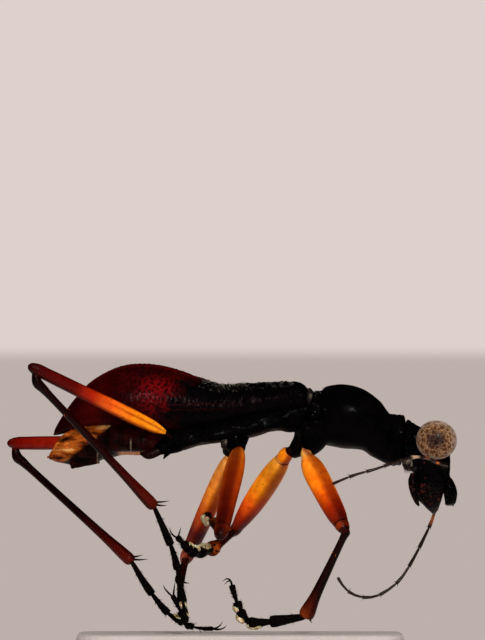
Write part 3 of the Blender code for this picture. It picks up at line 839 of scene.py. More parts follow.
# %% Eyes
EYE_CENTRE = Vector((3.945, 0.60, 3.705))
EYE_RADII = Vector((0.400, 0.375, 0.380))
PUPIL_SHIFT = 0.015
GROUND_STOPS = [
    (0.06, (0.008, 0.003, 0.002)), (0.18, (0.022, 0.008, 0.005)), (0.28, (0.055, 0.018, 0.006)),
    (0.38, (0.075, 0.028, 0.009)), (0.42, (0.20, 0.13, 0.10)), (0.46, (0.30, 0.22, 0.18))]
NET_STOPS = [
    (0.06, (0.02, 0.012, 0.009)), (0.20, (0.10, 0.055, 0.035)), (0.30, (0.34, 0.19, 0.09)),
    (0.42, (0.34, 0.23, 0.15))]


def eye_finish():
    finish = Finish("eye_tan", 0.35, Specular_IOR_Level=0.08, Coat_Weight=0.03, Coat_Roughness=0.12,
                    Subsurface_Weight=0.1, Subsurface_Scale=0.04 * MM)
    centred = finish.add("ShaderNodeMapping")
    centred.inputs["Location"].default_value = (PUPIL_SHIFT - EYE_CENTRE.x, 0, -EYE_CENTRE.z)
    centred.inputs["Scale"].default_value = (1, 0, 1)
    finish.link(finish.spot, centred.inputs["Vector"])
    distance = finish.distance(centred.outputs["Vector"], (0, 0, 0))
    mottle = finish.group(MOTTLE, Size=0.10)
    wander = finish.math("MULTIPLY_ADD", mottle.outputs["Cloud"], 0.10, distance)
    ground, lines = finish.ramp(wander, GROUND_STOPS), finish.ramp(wander, NET_STOPS)
    pale = finish.mix(finish.group(NET, Scale=11.0, Line=0.24).outputs["Net"], lines, ground)
    patchy = finish.step(mottle.outputs["Grain"], 0.30, 0.65)
    finish.colour(finish.mix(patchy, ground, pale))
    finish.net_bump(42.0, 0.2, 0.003)
    return finish.material


def make_eyes():
    material = eye_finish()
    for side, way in (("left", 1), ("right", -1)):
        bm = bmesh.new()
        add_ball(bm, *mirrored([EYE_CENTRE], way), EYE_RADII, segments=64)
        finish_piece(f"eye_{side}_dome", bm, material, "eye_tan", f"eye_{side}")


make_eyes()

# %% [markdown]
# The labrum is the upper lip, a scoop with a toothed edge that half covers the jaws. It is
# moulded flat and curved, and each tooth is a short cone set into its lower edge.

# %% Mouth sizes
LABRUM = (
    (4.12, 3.00, 0.00, 0.00, 0.00, -66),
    (4.14, 2.93, 0.10, 0.10, 0.28, -68),
    (4.20, 2.80, 0.12, 0.13, 0.36, -72),
    (4.25, 2.66, 0.11, 0.16, 0.36, -76),
    (4.26, 2.54, 0.09, 0.15, 0.33, -78),
    (4.26, 2.45, 0.06, 0.13, 0.26, -80),
    (4.26, 2.42, 0.00, 0.00, 0.00, -80),
)
LIP_MIDDLE, LIP_HALF_WIDTH, LIP_CURVE = Vector((4.26, 0, 2.50)), 0.25, 0.05
TOOTH_COUNT = 7
TOOTH, TOOTH_WIDTH = Vector((0.02, 0.03, -0.10)), 0.10
MANDIBLE = ((3.82, -0.20, 2.96), (3.83, -0.30, 2.72), (3.86, -0.30, 2.50), (3.89, -0.19, 2.35),
            (3.90, -0.06, 2.25))
MANDIBLE_WIDTHS = (0.60, 0.56, 0.38, 0.20, 0.03)
JAW_TEETH, JAW_TOOTH, JAW_TOOTH_WIDTH = (0.35, 0.55, 0.72), Vector((0, -0.12, -0.06)), 0.07
PALPS = (
    ((3.50, -0.26, 3.02), (3.46, -0.34, 2.88), (3.50, -0.38, 2.68), (3.56, -0.36, 2.50),
     (3.60, -0.33, 2.42)),
    ((3.62, -0.16, 2.95), (3.58, -0.22, 2.76), (3.61, -0.22, 2.61), (3.68, -0.19, 2.50),
     (3.71, -0.18, 2.44)),
)
PALP_WIDTHS = (0.14, 0.13, 0.13, 0.09, 0.04)
LOWER_LIP = Vector((3.64, -0.14, 2.84))
LOWER_LIP_RADII = Vector((0.19, 0.13, 0.26))
HORN = clouded("mouth_dark", 0.22, 0.09, [
    (0.0, (0.0006, 0.0003, 0.0003)), (0.8, (0.0014, 0.0004, 0.0004)), (1.0, (0.030, 0.005, 0.003))],
    grain=0.004, Specular_IOR_Level=0.06)


def make_upper_lip():
    bm = moulded(LABRUM, 60, 50)
    for index in range(TOOTH_COUNT):
        share = index / (TOOTH_COUNT - 1) * 2 - 1
        curve = LIP_CURVE * share * share
        root = LIP_MIDDLE + Vector((-curve, LIP_HALF_WIDTH * share, curve))
        add_cone(bm, root, root + TOOTH * Vector((1, share, 1)), TOOTH_WIDTH)
    finish_piece("upper_lip", bm, HEAD_BLACK, "cuticle_black", "labrum")


def make_jaw(side, way):
    bm = bmesh.new()
    points = mirrored(MANDIBLE, way)
    draw_smooth(bm, points, MANDIBLE_WIDTHS, 6, sides=18, flat=0.45, hint=Vector((0, 1, 0)))
    for share in JAW_TEETH:
        root = points[1].lerp(points[4], share)
        add_cone(bm, root, root + JAW_TOOTH * Vector((1, way, 1)), JAW_TOOTH_WIDTH)
    finish_piece(f"jaw_{side}", seal(bm), HORN, "mouth_dark", f"mandible_{side}")


def make_palps(side, way):
    bm = bmesh.new()
    add_ball(bm, *mirrored([LOWER_LIP], way), LOWER_LIP_RADII)
    for palp in PALPS:
        draw_smooth(bm, mirrored(palp, way), PALP_WIDTHS, 4, sides=10)
    finish_piece(f"palp_{side}", seal(bm), HORN, "mouth_dark", f"palps_{side}")


make_upper_lip()
for mouth_side, mouth_way in (("right", 1), ("left", -1)):
    make_jaw(mouth_side, mouth_way)
    make_palps(mouth_side, mouth_way)

# %% [markdown]
# A feeler has eleven joints, each a little thicker at its far end. They are drawn one after
# another along a smooth path, and the colour follows the number along. Near the head the dried
# skin shows orange at one or two joints, and one beside them is painted pale as a highlight.

# %% Feeler sizes
FEELERS = {
    "right": ((3.98, -0.42, 3.20), (4.14, -0.94, 3.22), (3.94, -1.33, 3.27),
              (3.76, -1.78, 3.36), (3.51, -2.25, 3.39), (3.29, -2.61, 3.34),
              (3.02, -2.88, 3.26), (2.73, -3.00, 3.16), (2.37, -3.02, 3.06),
              (2.08, -2.96, 2.95), (1.90, -2.84, 2.87)),
    "left": ((3.98, 0.42, 3.14), (3.98, 0.80, 2.65), (3.90, 1.00, 2.20),
             (3.71, 1.24, 1.75), (3.45, 1.40, 1.25), (3.22, 1.33, 0.92),
             (2.90, 1.22, 0.68), (2.61, 1.08, 0.60), (2.31, 0.90, 0.67),
             (2.12, 0.73, 0.84), (2.02, 0.60, 1.00)),
}
FEELER_WIDTH = 0.085
JOINT_ENDS = (0.0, 0.09, 0.115, 0.225, 0.325, 0.435, 0.535, 0.635, 0.73, 0.82, 0.905, 1.0)
# Places along a joint, and the share of its width there
FEELER_JOINT = ((0.0, 0.45), (0.12, 0.72), (0.5, 0.80), (0.85, 1.0), (0.97, 0.92), (1.0, 0.45))
FIRST_JOINT, JOINT_TAPER = 1.35, 0.025
ORANGE_RING, PALE_HIGHLIGHT_REACH = 0.075, 0.16
# Which measured points of each feeler are orange and which carries the pale painted highlight
MARKS = {"right": ((2, 3), 4, PALE_HIGHLIGHT_REACH), "left": ((2,), 1, ORANGE_RING)}
FEELER_STOPS = [
    (0.0, (0.010, 0.003, 0.002)), (0.5, (0.014, 0.006, 0.004)), (1.0, (0.030, 0.014, 0.009))]
# Dark grain of wear, the pale painted highlight, and the orange rings
WORN_DARK, PALE_HIGHLIGHT, RING_ORANGE = (0.005, 0.002, 0.0015), (0.42, 0.28, 0.18), (0.62, 0.14, 0.03)


class Path:
    """A smooth line through measured points, read by its share of the whole length."""

    def __init__(self, points, steps=12):
        drawn, _ = smooth_path(points, [1] * len(points), steps)
        self.points = [Vector(point) for point in drawn]
        self.lengths = [0.0]
        for here, there in zip(self.points, self.points[1:]):
            self.lengths.append(self.lengths[-1] + (there - here).length)

    def at(self, share):
        distance = max(0.0, min(1.0, share)) * self.lengths[-1]
        for index in range(1, len(self.points)):
            if self.lengths[index] >= distance:
                gap = self.lengths[index] - self.lengths[index - 1]
                part = (distance - self.lengths[index - 1]) / gap
                return self.points[index - 1].lerp(self.points[index], part)
        return self.points[-1]

    def way(self, share):
        return (self.at(share + 0.01) - self.at(share - 0.01)).normalized()


def draw_joint(bm, path, start, end, wide, shape, span=(0.0, 1.0)):
    points = [path.at(start + (end - start) * place) for place, _ in shape]
    draw_limb(bm, points, [wide * share for _, share in shape], span=span)


def feeler_finish():
    finish = Finish("feeler_brown", 0.4, Specular_IOR_Level=0.2)
    shades = finish.ramp(finish.attribute("along"), FEELER_STOPS)
    tone = finish.mix(finish.group(MOTTLE, Size=0.08).outputs["Grain"], shades, WORN_DARK)
    # Painted highlight: one joint near the head is painted pale
    tone = finish.mix(finish.attribute("pale"), tone, PALE_HIGHLIGHT)
    finish.colour(finish.mix(finish.attribute("ring"), tone, RING_ORANGE))
    return finish.material


def mark_near(bm, name, spots, reach):
    layer = bm.verts.layers.float.new(name)
    for vert in bm.verts:
        near = min((vert.co - Vector(spot)).length for spot in spots)
        vert[layer] = 1 - ease(near, reach * 0.8, reach * 1.1)


def make_feelers():
    material = feeler_finish()
    for side, points in FEELERS.items():
        path = Path(points)
        bm = bmesh.new()
        for number, (start, end) in enumerate(zip(JOINT_ENDS, JOINT_ENDS[1:])):
            wide = FEELER_WIDTH * (FIRST_JOINT if number == 0 else 1.0 - JOINT_TAPER * number)
            draw_joint(bm, path, start, end, wide, FEELER_JOINT, span=(start, end))
        for end in JOINT_ENDS[1:-1]:
            add_joint_hairs(bm, path, end - 0.006, 5, FEELER_WIDTH * 0.45, 0.07)
        orange, pale, highlight_reach = MARKS[side]
        mark_near(bm, "ring", [points[index] for index in orange], ORANGE_RING)
        mark_near(bm, "pale", [points[pale]], highlight_reach)
        finish_piece(f"feeler_{side}", seal(bm), material, "feeler_brown", f"antenna_{side}")


# %% [markdown]
# Bristles are thin three-sided cones. They lean towards the tip of the limb that they grow
# from, and a seeded random number keeps them from standing in rows.

# %% Bristles
rng = random.Random(7)
HAIR_WIDTH = 0.012


def add_hair(bm, root, way, length, width=HAIR_WIDTH, along=0.0):
    layer = bm.verts.layers.float.get("along") or bm.verts.layers.float.new("along")
    before = len(bm.verts)
    add_cone(bm, root, root + way * length, width, sides=3)
    bm.verts.ensure_lookup_table()
    for vert in bm.verts[before:]:
        vert[layer] = along


def add_joint_hairs(bm, path, place, count, reach, length):
    way = path.way(place)
    across = way.orthogonal().normalized()
    for index in range(count):
        turn = Matrix.Rotation(2 * math.pi * (index + rng.random()) / count, 3, way)
        outward = turn @ across
        lean = (way * 0.8 + outward * rng.uniform(0.5, 0.9)).normalized()
        root = path.at(place) + outward * reach * 0.8
        add_hair(bm, root, lean, length * rng.uniform(0.7, 1.2), along=place)


make_feelers()

# %% [markdown]
# Each leg is given by five places: the coxa, the base of the femur, the knee, the end of the
# tibia, and the line of the foot. The knees are folded as they dried. Where a tibia hinges
# beside the middle of the knee, that point is named shin.

# %% Leg sizes
LEGS = {
    "front_right": dict(
        coxa=(1.40, -0.22, 3.66), hip=(1.40, -0.48, 3.40), knee=(2.12, -1.70, 1.99),
        ankle=(1.38, -0.98, 0.26), shin=(2.18, -1.70, 1.95),
        foot=((0.66, -1.20, 0.16), (0.24, -1.42, 0.18), (0.04, -1.68, 0.55), (-0.06, -1.78, 0.88)),
        curl=(-0.8, 0.0, -0.5), pads=(1, 2, 3)),
    "front_left": dict(
        coxa=(1.28, 0.22, 3.64), hip=(0.99, 0.50, 3.40), knee=(-0.02, 2.10, 1.88),
        ankle=(-0.46, 0.34, 1.56),
        foot=((-0.78, -0.40, 1.50), (-0.98, -0.95, 1.66), (-1.11, -1.22, 1.80)),
        curl=(0.0, 0.0, 1.0), pads=(0, 1, 2)),
    "middle_right": dict(
        coxa=(0.04, -0.24, 3.66), hip=(0.06, -0.50, 3.46), knee=(-0.28, -2.25, 1.88),
        ankle=(-0.42, 0.16, 2.10),
        foot=((-0.55, 1.10, 2.14), (-0.48, 1.70, 2.36), (-0.38, 2.20, 2.50)),
        curl=(-1.0, 0.3, -0.1), pads=(0, 1, 2)),
    "middle_left": dict(
        coxa=(-0.04, 0.24, 3.62), hip=(-0.08, 0.50, 3.38), knee=(-0.97, 2.60, 1.34),
        ankle=(-1.09, 0.56, 0.94),
        foot=((-1.02, -0.30, 0.42), (-0.99, -0.88, 0.22), (-1.21, -1.24, 0.66)),
        curl=(-0.2, 0.0, 1.0), pads=(1, 2)),
    "hind_right": dict(
        coxa=(-1.14, -0.36, 3.62), hip=(-1.37, -0.76, 3.86), knee=(-3.90, -2.05, 5.11),
        ankle=(-1.59, -0.28, 2.41), shin=(-3.90, -2.05, 4.89),
        foot=((-1.25, -0.72, 1.63), (-1.13, -1.02, 1.20), (-1.02, -1.40, 0.62), (-0.97, -1.48, 0.16)),
        curl=(0.9, 0.0, 0.5)),
    "hind_left": dict(
        coxa=(-1.14, 0.36, 3.62), hip=(-1.44, 0.76, 3.66), knee=(-4.35, 2.60, 3.625),
        ankle=(-2.04, 0.94, 1.32), shin=(-4.35, 2.60, 3.40),
        foot=((-1.70, 0.80, 0.77), (-1.27, 0.67, 0.26), (-0.78, 0.49, 0.02), (-0.44, 0.37, 0.00)),
        curl=(0.7, 0.0, 0.7), pads=(2,)),
}
FEMUR_PLACES = (0.0, 0.05, 0.12, 0.25, 0.45, 0.65, 0.82, 0.92, 0.98, 1.03, 1.05)
FEMUR_WIDTHS = {
    "front_right": (0.22, 0.30, 0.41, 0.48, 0.47, 0.44, 0.39, 0.31, 0.28, 0.19, 0.04),
    "front_left": (0.20, 0.28, 0.38, 0.45, 0.47, 0.43, 0.34, 0.26, 0.24, 0.15, 0.04),
    "middle_right": (0.27, 0.32, 0.36, 0.39, 0.37, 0.34, 0.32, 0.30, 0.28, 0.19, 0.04),
    "middle_left": (0.20, 0.28, 0.34, 0.38, 0.38, 0.36, 0.32, 0.28, 0.27, 0.18, 0.04),
    "hind_right": (0.10, 0.20, 0.27, 0.31, 0.31, 0.29, 0.28, 0.27, 0.27, 0.18, 0.04),
    "hind_left": (0.15, 0.21, 0.27, 0.30, 0.30, 0.29, 0.29, 0.28, 0.27, 0.18, 0.04),
}
TIBIA_PLACES = (-0.02, 0.02, 0.07, 0.15, 0.40, 0.75, 0.93, 0.99, 1.01)
TIBIA_WIDTHS = {
    "front": (0.13, 0.17, 0.15, 0.14, 0.16, 0.21, 0.30, 0.28, 0.10),
    "middle": (0.10, 0.16, 0.15, 0.14, 0.15, 0.18, 0.20, 0.18, 0.06),
    "hind": (0.12, 0.20, 0.18, 0.15, 0.15, 0.18, 0.24, 0.23, 0.08),
}
FOOT_WIDTHS = {"front": 0.24, "middle": 0.20, "hind": 0.17}

# %% [markdown]
# The femora are the beetle's jewels: glassy amber at the base, shading through orange to red
# brown at the knee. Light goes into them and comes out again, so the shader scatters it below
# the surface; the colour itself is a ramp that follows the leg, darkened along both edges as
# painted shade. The far front and middle legs are painted brighter, as painted light.


# %% Leg finishes
# The edge colour is painted shade; the cloud and the seam are the amber's own
AMBER_CLOUD, AMBER_EDGE_SHADE, AMBER_SEAM = (0.80, 0.62, 0.50), (0.22, 0.07, 0.10), (0.24, 0.12, 0.3)
AMBER_SPECK = (0.12, 0.06, 0.2)
EDGE_SHADE_STRENGTH = 0.85


def amber_finish(name, stops, seam=0.0):
    # seam is the strength of the dark line along the middle of a hind femur
    finish = Finish(name, 0.32, Specular_IOR_Level=0.07, Coat_Weight=0.02, Coat_Roughness=0.12,
                    Subsurface_Weight=0.22, Subsurface_Scale=0.06 * MM,
                    Subsurface_Radius=(1.0, 0.35, 0.08))
    tone = finish.ramp(finish.attribute("along"), stops)
    tone = finish.mix(finish.group(MOTTLE, Size=0.16).outputs["Cloud"], tone, AMBER_CLOUD, "MULTIPLY")
    from_middle = finish.math("ABSOLUTE", finish.attribute("across"))
    # Painted shade: both edges of a limb are darkened, as the light falls off across the translucent
    # amber
    edge = finish.times(finish.step(from_middle, 0.62, 1.0), EDGE_SHADE_STRENGTH)
    tone = finish.mix(edge, tone, AMBER_EDGE_SHADE, "MULTIPLY")
    if seam:
        near_root = finish.step(finish.attribute("along"), 0.26, 0.12)
        line = finish.times(finish.step(from_middle, 0.34, 0.04), near_root, seam)
        tone = finish.mix(line, tone, AMBER_SEAM, "MULTIPLY")
    speck = finish.mix(1.0, tone, AMBER_SPECK, "MULTIPLY")
    finish.colour(finish.mix(finish.group(PORES, Scale=7.0, Radius=0.20).outputs["Pore"], speck, tone))
    finish.net_bump(20.0, 0.15, 0.002)
    return finish.material


SHIN_STOPS = [
    (0.515, (0.006, 0.0006, 0.0005)), (0.84, (0.008, 0.0006, 0.0005)), (0.94, (0.06, 0.006, 0.0015)),
    (1.0, (0.20, 0.035, 0.005))]
HIND_SHIN_STOPS = [
    (0.515, (0.006, 0.0006, 0.0005)), (0.80, (0.009, 0.0006, 0.0005)), (0.92, (0.045, 0.002, 0.001)),
    (1.0, (0.075, 0.005, 0.002))]
FRONT_STOPS = [
    (0.0, (0.70, 0.33, 0.08)), (0.05, (0.88, 0.26, 0.012)), (0.20, (0.92, 0.21, 0.004)),
    (0.28, (0.64, 0.090, 0.002)), (0.36, (0.30, 0.018, 0.0012)), (0.440, (0.12, 0.007, 0.0015)),
    (0.448, (0.008, 0.001, 0.001)), (0.456, (0.16, 0.016, 0.003)), (0.478, (0.20, 0.024, 0.004)),
    (0.486, (0.012, 0.001, 0.001)), (0.50, (0.04, 0.003, 0.002)), *SHIN_STOPS]
FRONT_LEG = amber_finish("leg_amber", FRONT_STOPS)
# Painted light: the far front leg takes a brighter copy of the front leg's colours
FAR_LIGHT_GAIN = 1.45                         # the far leg is seen by the light that passes through it
FAR_FRONT_LEG = amber_finish("leg_amber_lit_through", [
    (place, tuple(min(1.0, value * FAR_LIGHT_GAIN) for value in colour)) for place, colour in FRONT_STOPS])
MIDDLE_LEG = amber_finish("leg_tawny", [
    (0.0, (0.42, 0.10, 0.005)), (0.12, (0.34, 0.052, 0.0016)), (0.24, (0.24, 0.022, 0.0020)),
    (0.36, (0.12, 0.008, 0.0012)), (0.425, (0.08, 0.006, 0.0012)), (0.435, (0.012, 0.001, 0.001)),
    (0.445, (0.12, 0.014, 0.002)), (0.465, (0.06, 0.006, 0.0015)), (0.50, (0.010, 0.001, 0.001)),
    *SHIN_STOPS])
HIND_LEG = amber_finish("leg_ruby", [
    (0.0, (0.80, 0.27, 0.010)), (0.11, (0.80, 0.21, 0.003)), (0.20, (0.74, 0.115, 0.008)),
    (0.27, (0.30, 0.012, 0.001)), (0.34, (0.075, 0.0016, 0.001)), (0.46, (0.045, 0.0012, 0.001)),
    (0.50, (0.018, 0.0012, 0.001)), *HIND_SHIN_STOPS], seam=0.7)
FAR_HIND_LEG = amber_finish("leg_garnet", [
    (0.0, (0.60, 0.12, 0.006)), (0.22, (0.30, 0.012, 0.002)), (0.45, (0.15, 0.003, 0.001)),
    (0.50, (0.05, 0.0015, 0.001)), *HIND_SHIN_STOPS])
# The far middle leg has colours of its own, partly raised at the root as painted light, as it lies in
# the shade of the near middle leg
FAR_LEG = amber_finish("leg_far", [
    (0.0, (1.0, 0.44, 0.09)), (0.14, (1.0, 0.31, 0.022)), (0.26, (0.66, 0.080, 0.004)),
    (0.34, (0.12, 0.007, 0.003)), (0.41, (0.14, 0.012, 0.005)), (0.46, (0.34, 0.07, 0.035)),
    (0.50, (0.20, 0.03, 0.015)), (0.54, (0.020, 0.002, 0.001)), (1.0, (0.004, 0.0008, 0.0008))])
LEG_FINISHES = {
    "front_right": FRONT_LEG, "front_left": FAR_FRONT_LEG, "middle_right": MIDDLE_LEG,
    "middle_left": FAR_LEG, "hind_right": HIND_LEG, "hind_left": FAR_HIND_LEG}
FOOT_DARK = clouded("foot_dark", 0.5, 0.09, ((0.0004, 0.0003, 0.0003), (0.0028, 0.0010, 0.0007)),
                    grain=0.006, Specular_IOR_Level=0.04)
PAD_CREAM = clouded("pad_cream", 0.7, 0.07, [
    (0.0, (0.20, 0.12, 0.045)), (0.5, (0.55, 0.42, 0.20)), (1.0, (0.78, 0.70, 0.50))],
    grain=0.01, Subsurface_Weight=0.3, Subsurface_Scale=0.06 * MM)

# %% [markdown]
# Trochanter, femur and tibia are one mesh, as they are one solid in the measured model. The
# number along runs from 0 to 0.5 on the femur and from 0.5 to 1 on the tibia. The tibia widens
# to its end, where two spurs stand.


# %% Upper legs
STUB_WIDTHS = {"front": (0.17, 0.22, 0.14), "middle": (0.17, 0.22, 0.14), "hind": (0.12, 0.09, 0.05)}
DARK_SPAN = (0.53, 0.54)                # a dark part of the colour ramp
DARK_ROOTS = ("hind_right", "hind_left", "front_left")
# The left front trochanter is turned outward and shows as an oval knob with a dark rim: places
# along the femur, widths and a part of the colour ramp
KNOB = (-0.17, -0.09, 0.09, 0.15), (0.10, 0.26, 0.28, 0.12), (0.20, 0.24)
KNOB_RIM = (0.12, 0.13, 0.14, 0.15), (0.24, 0.295, 0.295, 0.24), (0.43, 0.44)
# The trochanter of a hind leg is a dark bean that lies along the belly
BEAN = ((-1.38, 0.60, 3.54), (-1.50, 0.60, 3.49), (-1.70, 0.60, 3.42), (-1.86, 0.60, 3.45))
BEAN_WIDTHS = (0.08, 0.17, 0.18, 0.04)
SPUR_LENGTHS = {"front": 0.14, "middle": 0.14, "hind": 0.26}
SPUR_WIDTHS = (0.05, 0.035, 0.006)
SPUR_SHADE = 0.7
SHIN_HAIRS = (0.25, 0.4, 0.55, 0.7, 0.82, 0.92)


def draw_trochanter(bm, name, coxa, hip, knee):
    pair = name.split("_")[0]
    stub = [coxa.lerp(hip, 0.45), hip, hip.lerp(knee, 0.10)]
    draw_smooth(bm, stub, STUB_WIDTHS[pair], 4, sides=20,
                span=DARK_SPAN if name in DARK_ROOTS else (0.0, 0.02))
    if name == "front_left":
        way = (knee - hip).normalized()
        places, widths, span = KNOB
        draw_smooth(bm, [hip + way * place for place in places], widths, 5, sides=24, span=span)
        places, widths, span = KNOB_RIM
        draw_limb(bm, [hip + way * place for place in places], widths, sides=24, span=span)
    if pair == "hind":
        bean = mirrored(BEAN, math.copysign(1, hip.y))
        draw_smooth(bm, bean, BEAN_WIDTHS, 4, sides=16, span=DARK_SPAN)


def draw_femur(bm, name, hip, knee):
    places = [hip.lerp(knee, place) for place in FEMUR_PLACES]
    draw_smooth(bm, places, FEMUR_WIDTHS[name], 4, sides=32, flat=0.92, span=(0.0, 0.5))


def draw_tibia(bm, pair, knee, shin, ankle):
    # The tibia hinges at the shin point, which lies inside the rounded end of the femur
    places = [shin.lerp(ankle, place) for place in TIBIA_PLACES]
    if shin != knee:
        places[0] = knee.lerp(shin, 0.3)
    draw_smooth(bm, places, TIBIA_WIDTHS[pair], 5, sides=20, span=(0.5, 1.0))


def draw_spurs(bm, shin, ankle, length):
    layer = bm.verts.layers.float["along"]
    down = (ankle - shin).normalized()
    forward = Vector((1, 0, 0.3))
    forward = (forward - down * down.dot(forward)).normalized()
    for side in (-1, 1):
        aside = down.cross(forward) * side * 0.05
        root = ankle - down * 0.03 + forward * 0.06 + aside
        tip = root + (forward * 0.75 + down * 0.65) * length * (1 - 0.15 * side) + aside * 0.8
        bend = root.lerp(tip, 0.5) - forward * 0.015
        before = len(bm.verts)
        draw_smooth(bm, [root, bend, tip], SPUR_WIDTHS, 3, sides=7)
        bm.verts.ensure_lookup_table()
        for vert in bm.verts[before:]:
            vert[layer] = SPUR_SHADE


def make_upper_leg(name, leg):
    pair = name.split("_")[0]
    coxa, hip, knee, ankle = (Vector(leg[key]) for key in ("coxa", "hip", "knee", "ankle"))
    shin = Vector(leg.get("shin", knee))
    bm = bmesh.new()
    draw_trochanter(bm, name, coxa, hip, knee)
    draw_femur(bm, name, hip, knee)
    draw_tibia(bm, pair, knee, shin, ankle)
    draw_spurs(bm, shin, ankle, SPUR_LENGTHS[pair])
    tibia_path = Path([shin, shin.lerp(ankle, 0.5), ankle])
    for place in SHIN_HAIRS:
        add_joint_hairs(bm, tibia_path, place, 4, 0.07, 0.07)
    finish_piece(f"upper_leg_{name}", seal(bm), LEG_FINISHES[name], "leg_amber", f"leg_{name}")


# %% [markdown]
# A foot has five joints, each like a small trumpet that opens towards the claws. The last joint
# is long and ends in two curved claws. Some joints carry cream pads of close hair below.

# %% Feet
FOOT_JOINTS = (0.0, 0.34, 0.56, 0.72, 0.82, 1.0)
FOOT_JOINT = ((0.0, 0.40), (0.10, 0.55), (0.55, 0.78), (0.88, 1.0), (0.99, 0.95), (1.03, 0.50))
LAST_JOINT, FOOT_TAPER = 4, 0.07
LAST_WIDTH = 0.55
CLAW_LENGTH = 0.24
# Shares of a claw's length onward, aside and along its curl
CLAW = ((0.40, 0.22, 0.0), (0.62, 0.42, 0.25), (0.58, 0.52, 0.62))
CLAW_WIDTHS = (0.045, 0.038, 0.026, 0.006)
PAD_PLACE, PAD_SHAPE, PAD_LUMPS = 0.62, (0.50, 0.34, 0.36), (0.012, 30)


def draw_claws(bm, path, curl):
    end, onward = path.at(1.0), path.way(0.985)
    spread = onward.cross(curl).normalized()
    for side in (-1, 1):
        points = [end - onward * 0.03]
        for ahead, aside, up in CLAW:
            points.append(end + (onward * ahead + spread * side * aside + curl * up) * CLAW_LENGTH)
        draw_smooth(bm, points, CLAW_WIDTHS, 4, sides=8)


def add_pad(bm, path, start, end, wide, below):
    middle = path.at(start + (end - start) * PAD_PLACE) + below * wide * 0.35
    across, deep, long = PAD_SHAPE
    size = Matrix.Diagonal((wide * across, wide * deep, (end - start) * path.lengths[-1] * long, 1))
    place = Matrix.Translation(middle) @ turned(path.way((start + end) / 2), below).to_4x4()
    bmesh.ops.create_uvsphere(bm, u_segments=20, v_segments=14, radius=1, matrix=place @ size)


def make_foot(name, leg):
    path = Path([leg["ankle"], *leg["foot"]])
    curl = Vector(leg["curl"]).normalized()
    bm = bmesh.new()
    pads = bmesh.new()
    for number, (start, end) in enumerate(zip(FOOT_JOINTS, FOOT_JOINTS[1:])):
        last = number == LAST_JOINT
        wide = FOOT_WIDTHS[name.split("_")[0]] * (LAST_WIDTH if last else 1.0 - FOOT_TAPER * number)
        draw_joint(bm, path, start, end, wide, FOOT_JOINT)
        for row in range(2 if last else 4):
            place = start + (end - start) * (0.35 + 0.2 * row)
            add_joint_hairs(bm, path, place, 8, wide * 0.40, 0.085)
        if number in leg.get("pads", ()):
            add_pad(pads, path, start, end, wide, curl)
    draw_claws(bm, path, curl)
    finish_piece(f"foot_{name}", seal(bm), FOOT_DARK, "foot_dark", f"tarsus_{name}")
    if pads.verts:
        carve(pads, lambda spot, normal: lumps(spot, PAD_LUMPS))
        finish_piece(f"pads_{name}", pads, PAD_CREAM, "foot_dark", f"tarsus_{name}")
    else:
        pads.free()


for leg_name, leg_sizes in LEGS.items():
    make_upper_leg(leg_name, leg_sizes)
    make_foot(leg_name, leg_sizes)

# %% [markdown]
# Short pale hairs stand along both sides of the waist of the wing cases and on the rear collar
# of the front chest. They are set on the same sections that shaped those plates.

# %% Body hairs
HAIR_PALE = clouded("hair_pale", 0.5, 0.3, ((0.045, 0.038, 0.030), (0.22, 0.19, 0.15)), Coat_Weight=0.1)
# Reach along X, count, nearest and furthest turn from the top in degrees, and length
WAIST_HAIRS = (((-1.0, 1.2), 120, 14, 50, 0.070), ((-1.0, 0.3), 80, 8, 32, 0.085))
WAIST_LEAN, COLLAR_LEAN = -0.9, -0.8
HAIR_STRAY = 0.3


def hairs_on(bm, rows, reach, count, turns, length, lean):
    padded = rounded_off(rows)
    inside = [index for index, row in enumerate(rows) if reach[0] <= row[0] <= reach[1]]
    for _ in range(count):
        place = rng.uniform(inside[0], inside[-1])
        turn = math.radians(rng.uniform(*turns))
        row = row_at(padded, place)
        root = on_section(row, turn)
        outward = Vector((0, math.cos(turn) / row[4], math.sin(turn) / row[2])).normalized()
        stray = Vector((
            lean + rng.uniform(-HAIR_STRAY, HAIR_STRAY), rng.uniform(-HAIR_STRAY, HAIR_STRAY), 0))
        way = (outward + stray).normalized()
        add_hair(bm, root - outward * 0.01, way, length * rng.uniform(0.6, 1.3), HAIR_WIDTH * 0.8)


def make_body_hairs():
    bm = bmesh.new()
    for side in (-1, 1):
        for reach, count, near, far, length in WAIST_HAIRS:
            turns = (90 + side * near, 90 + side * far)
            hairs_on(bm, ELYTRA, reach, count, turns, length, WAIST_LEAN)
    hairs_on(bm, PROTHORAX, (1.42, 1.8), 32, (-30, 210), 0.07, COLLAR_LEAN)
    finish_piece("body_hairs", seal(bm), HAIR_PALE, "cuticle_black")


make_body_hairs()

# %% [markdown]
# Between the plates lies thin pale skin, which dried in wrinkles: at the neck of the wing cases,
# under the throat and beside the middle coxae. Low rounded lobes stand in for its folds, and a
# fringe of hairs hangs at the throat.

# %% Skin between the plates
SKIN_PALE = clouded("skin_pale", 0.6, 0.14, [
    (0.0, (0.002, 0.0015, 0.0015)), (0.55, (0.016, 0.011, 0.008)), (1.0, (0.15, 0.115, 0.08))],
    grain=0.008, Specular_IOR_Level=0.03)
SKIN_FOLDS = (
    ((1.45, 0.0, 4.36), (0.15, 0.36, 0.37)),
    ((3.42, 0.0, 3.29), (0.15, 0.40, 0.19)),
    ((-0.22, -0.44, 3.66), (0.07, 0.08, 0.14)),
    ((-0.22, 0.44, 3.66), (0.07, 0.08, 0.14)),
)
SKIN_LUMPS = (0.016, 16)
FRINGE_START, FRINGE_STEP, FRINGE_COUNT = Vector((3.30, -0.40, 3.20)), 0.02, 8
FRINGE_LENGTH, FRINGE_WIDTH = 0.16, 0.016


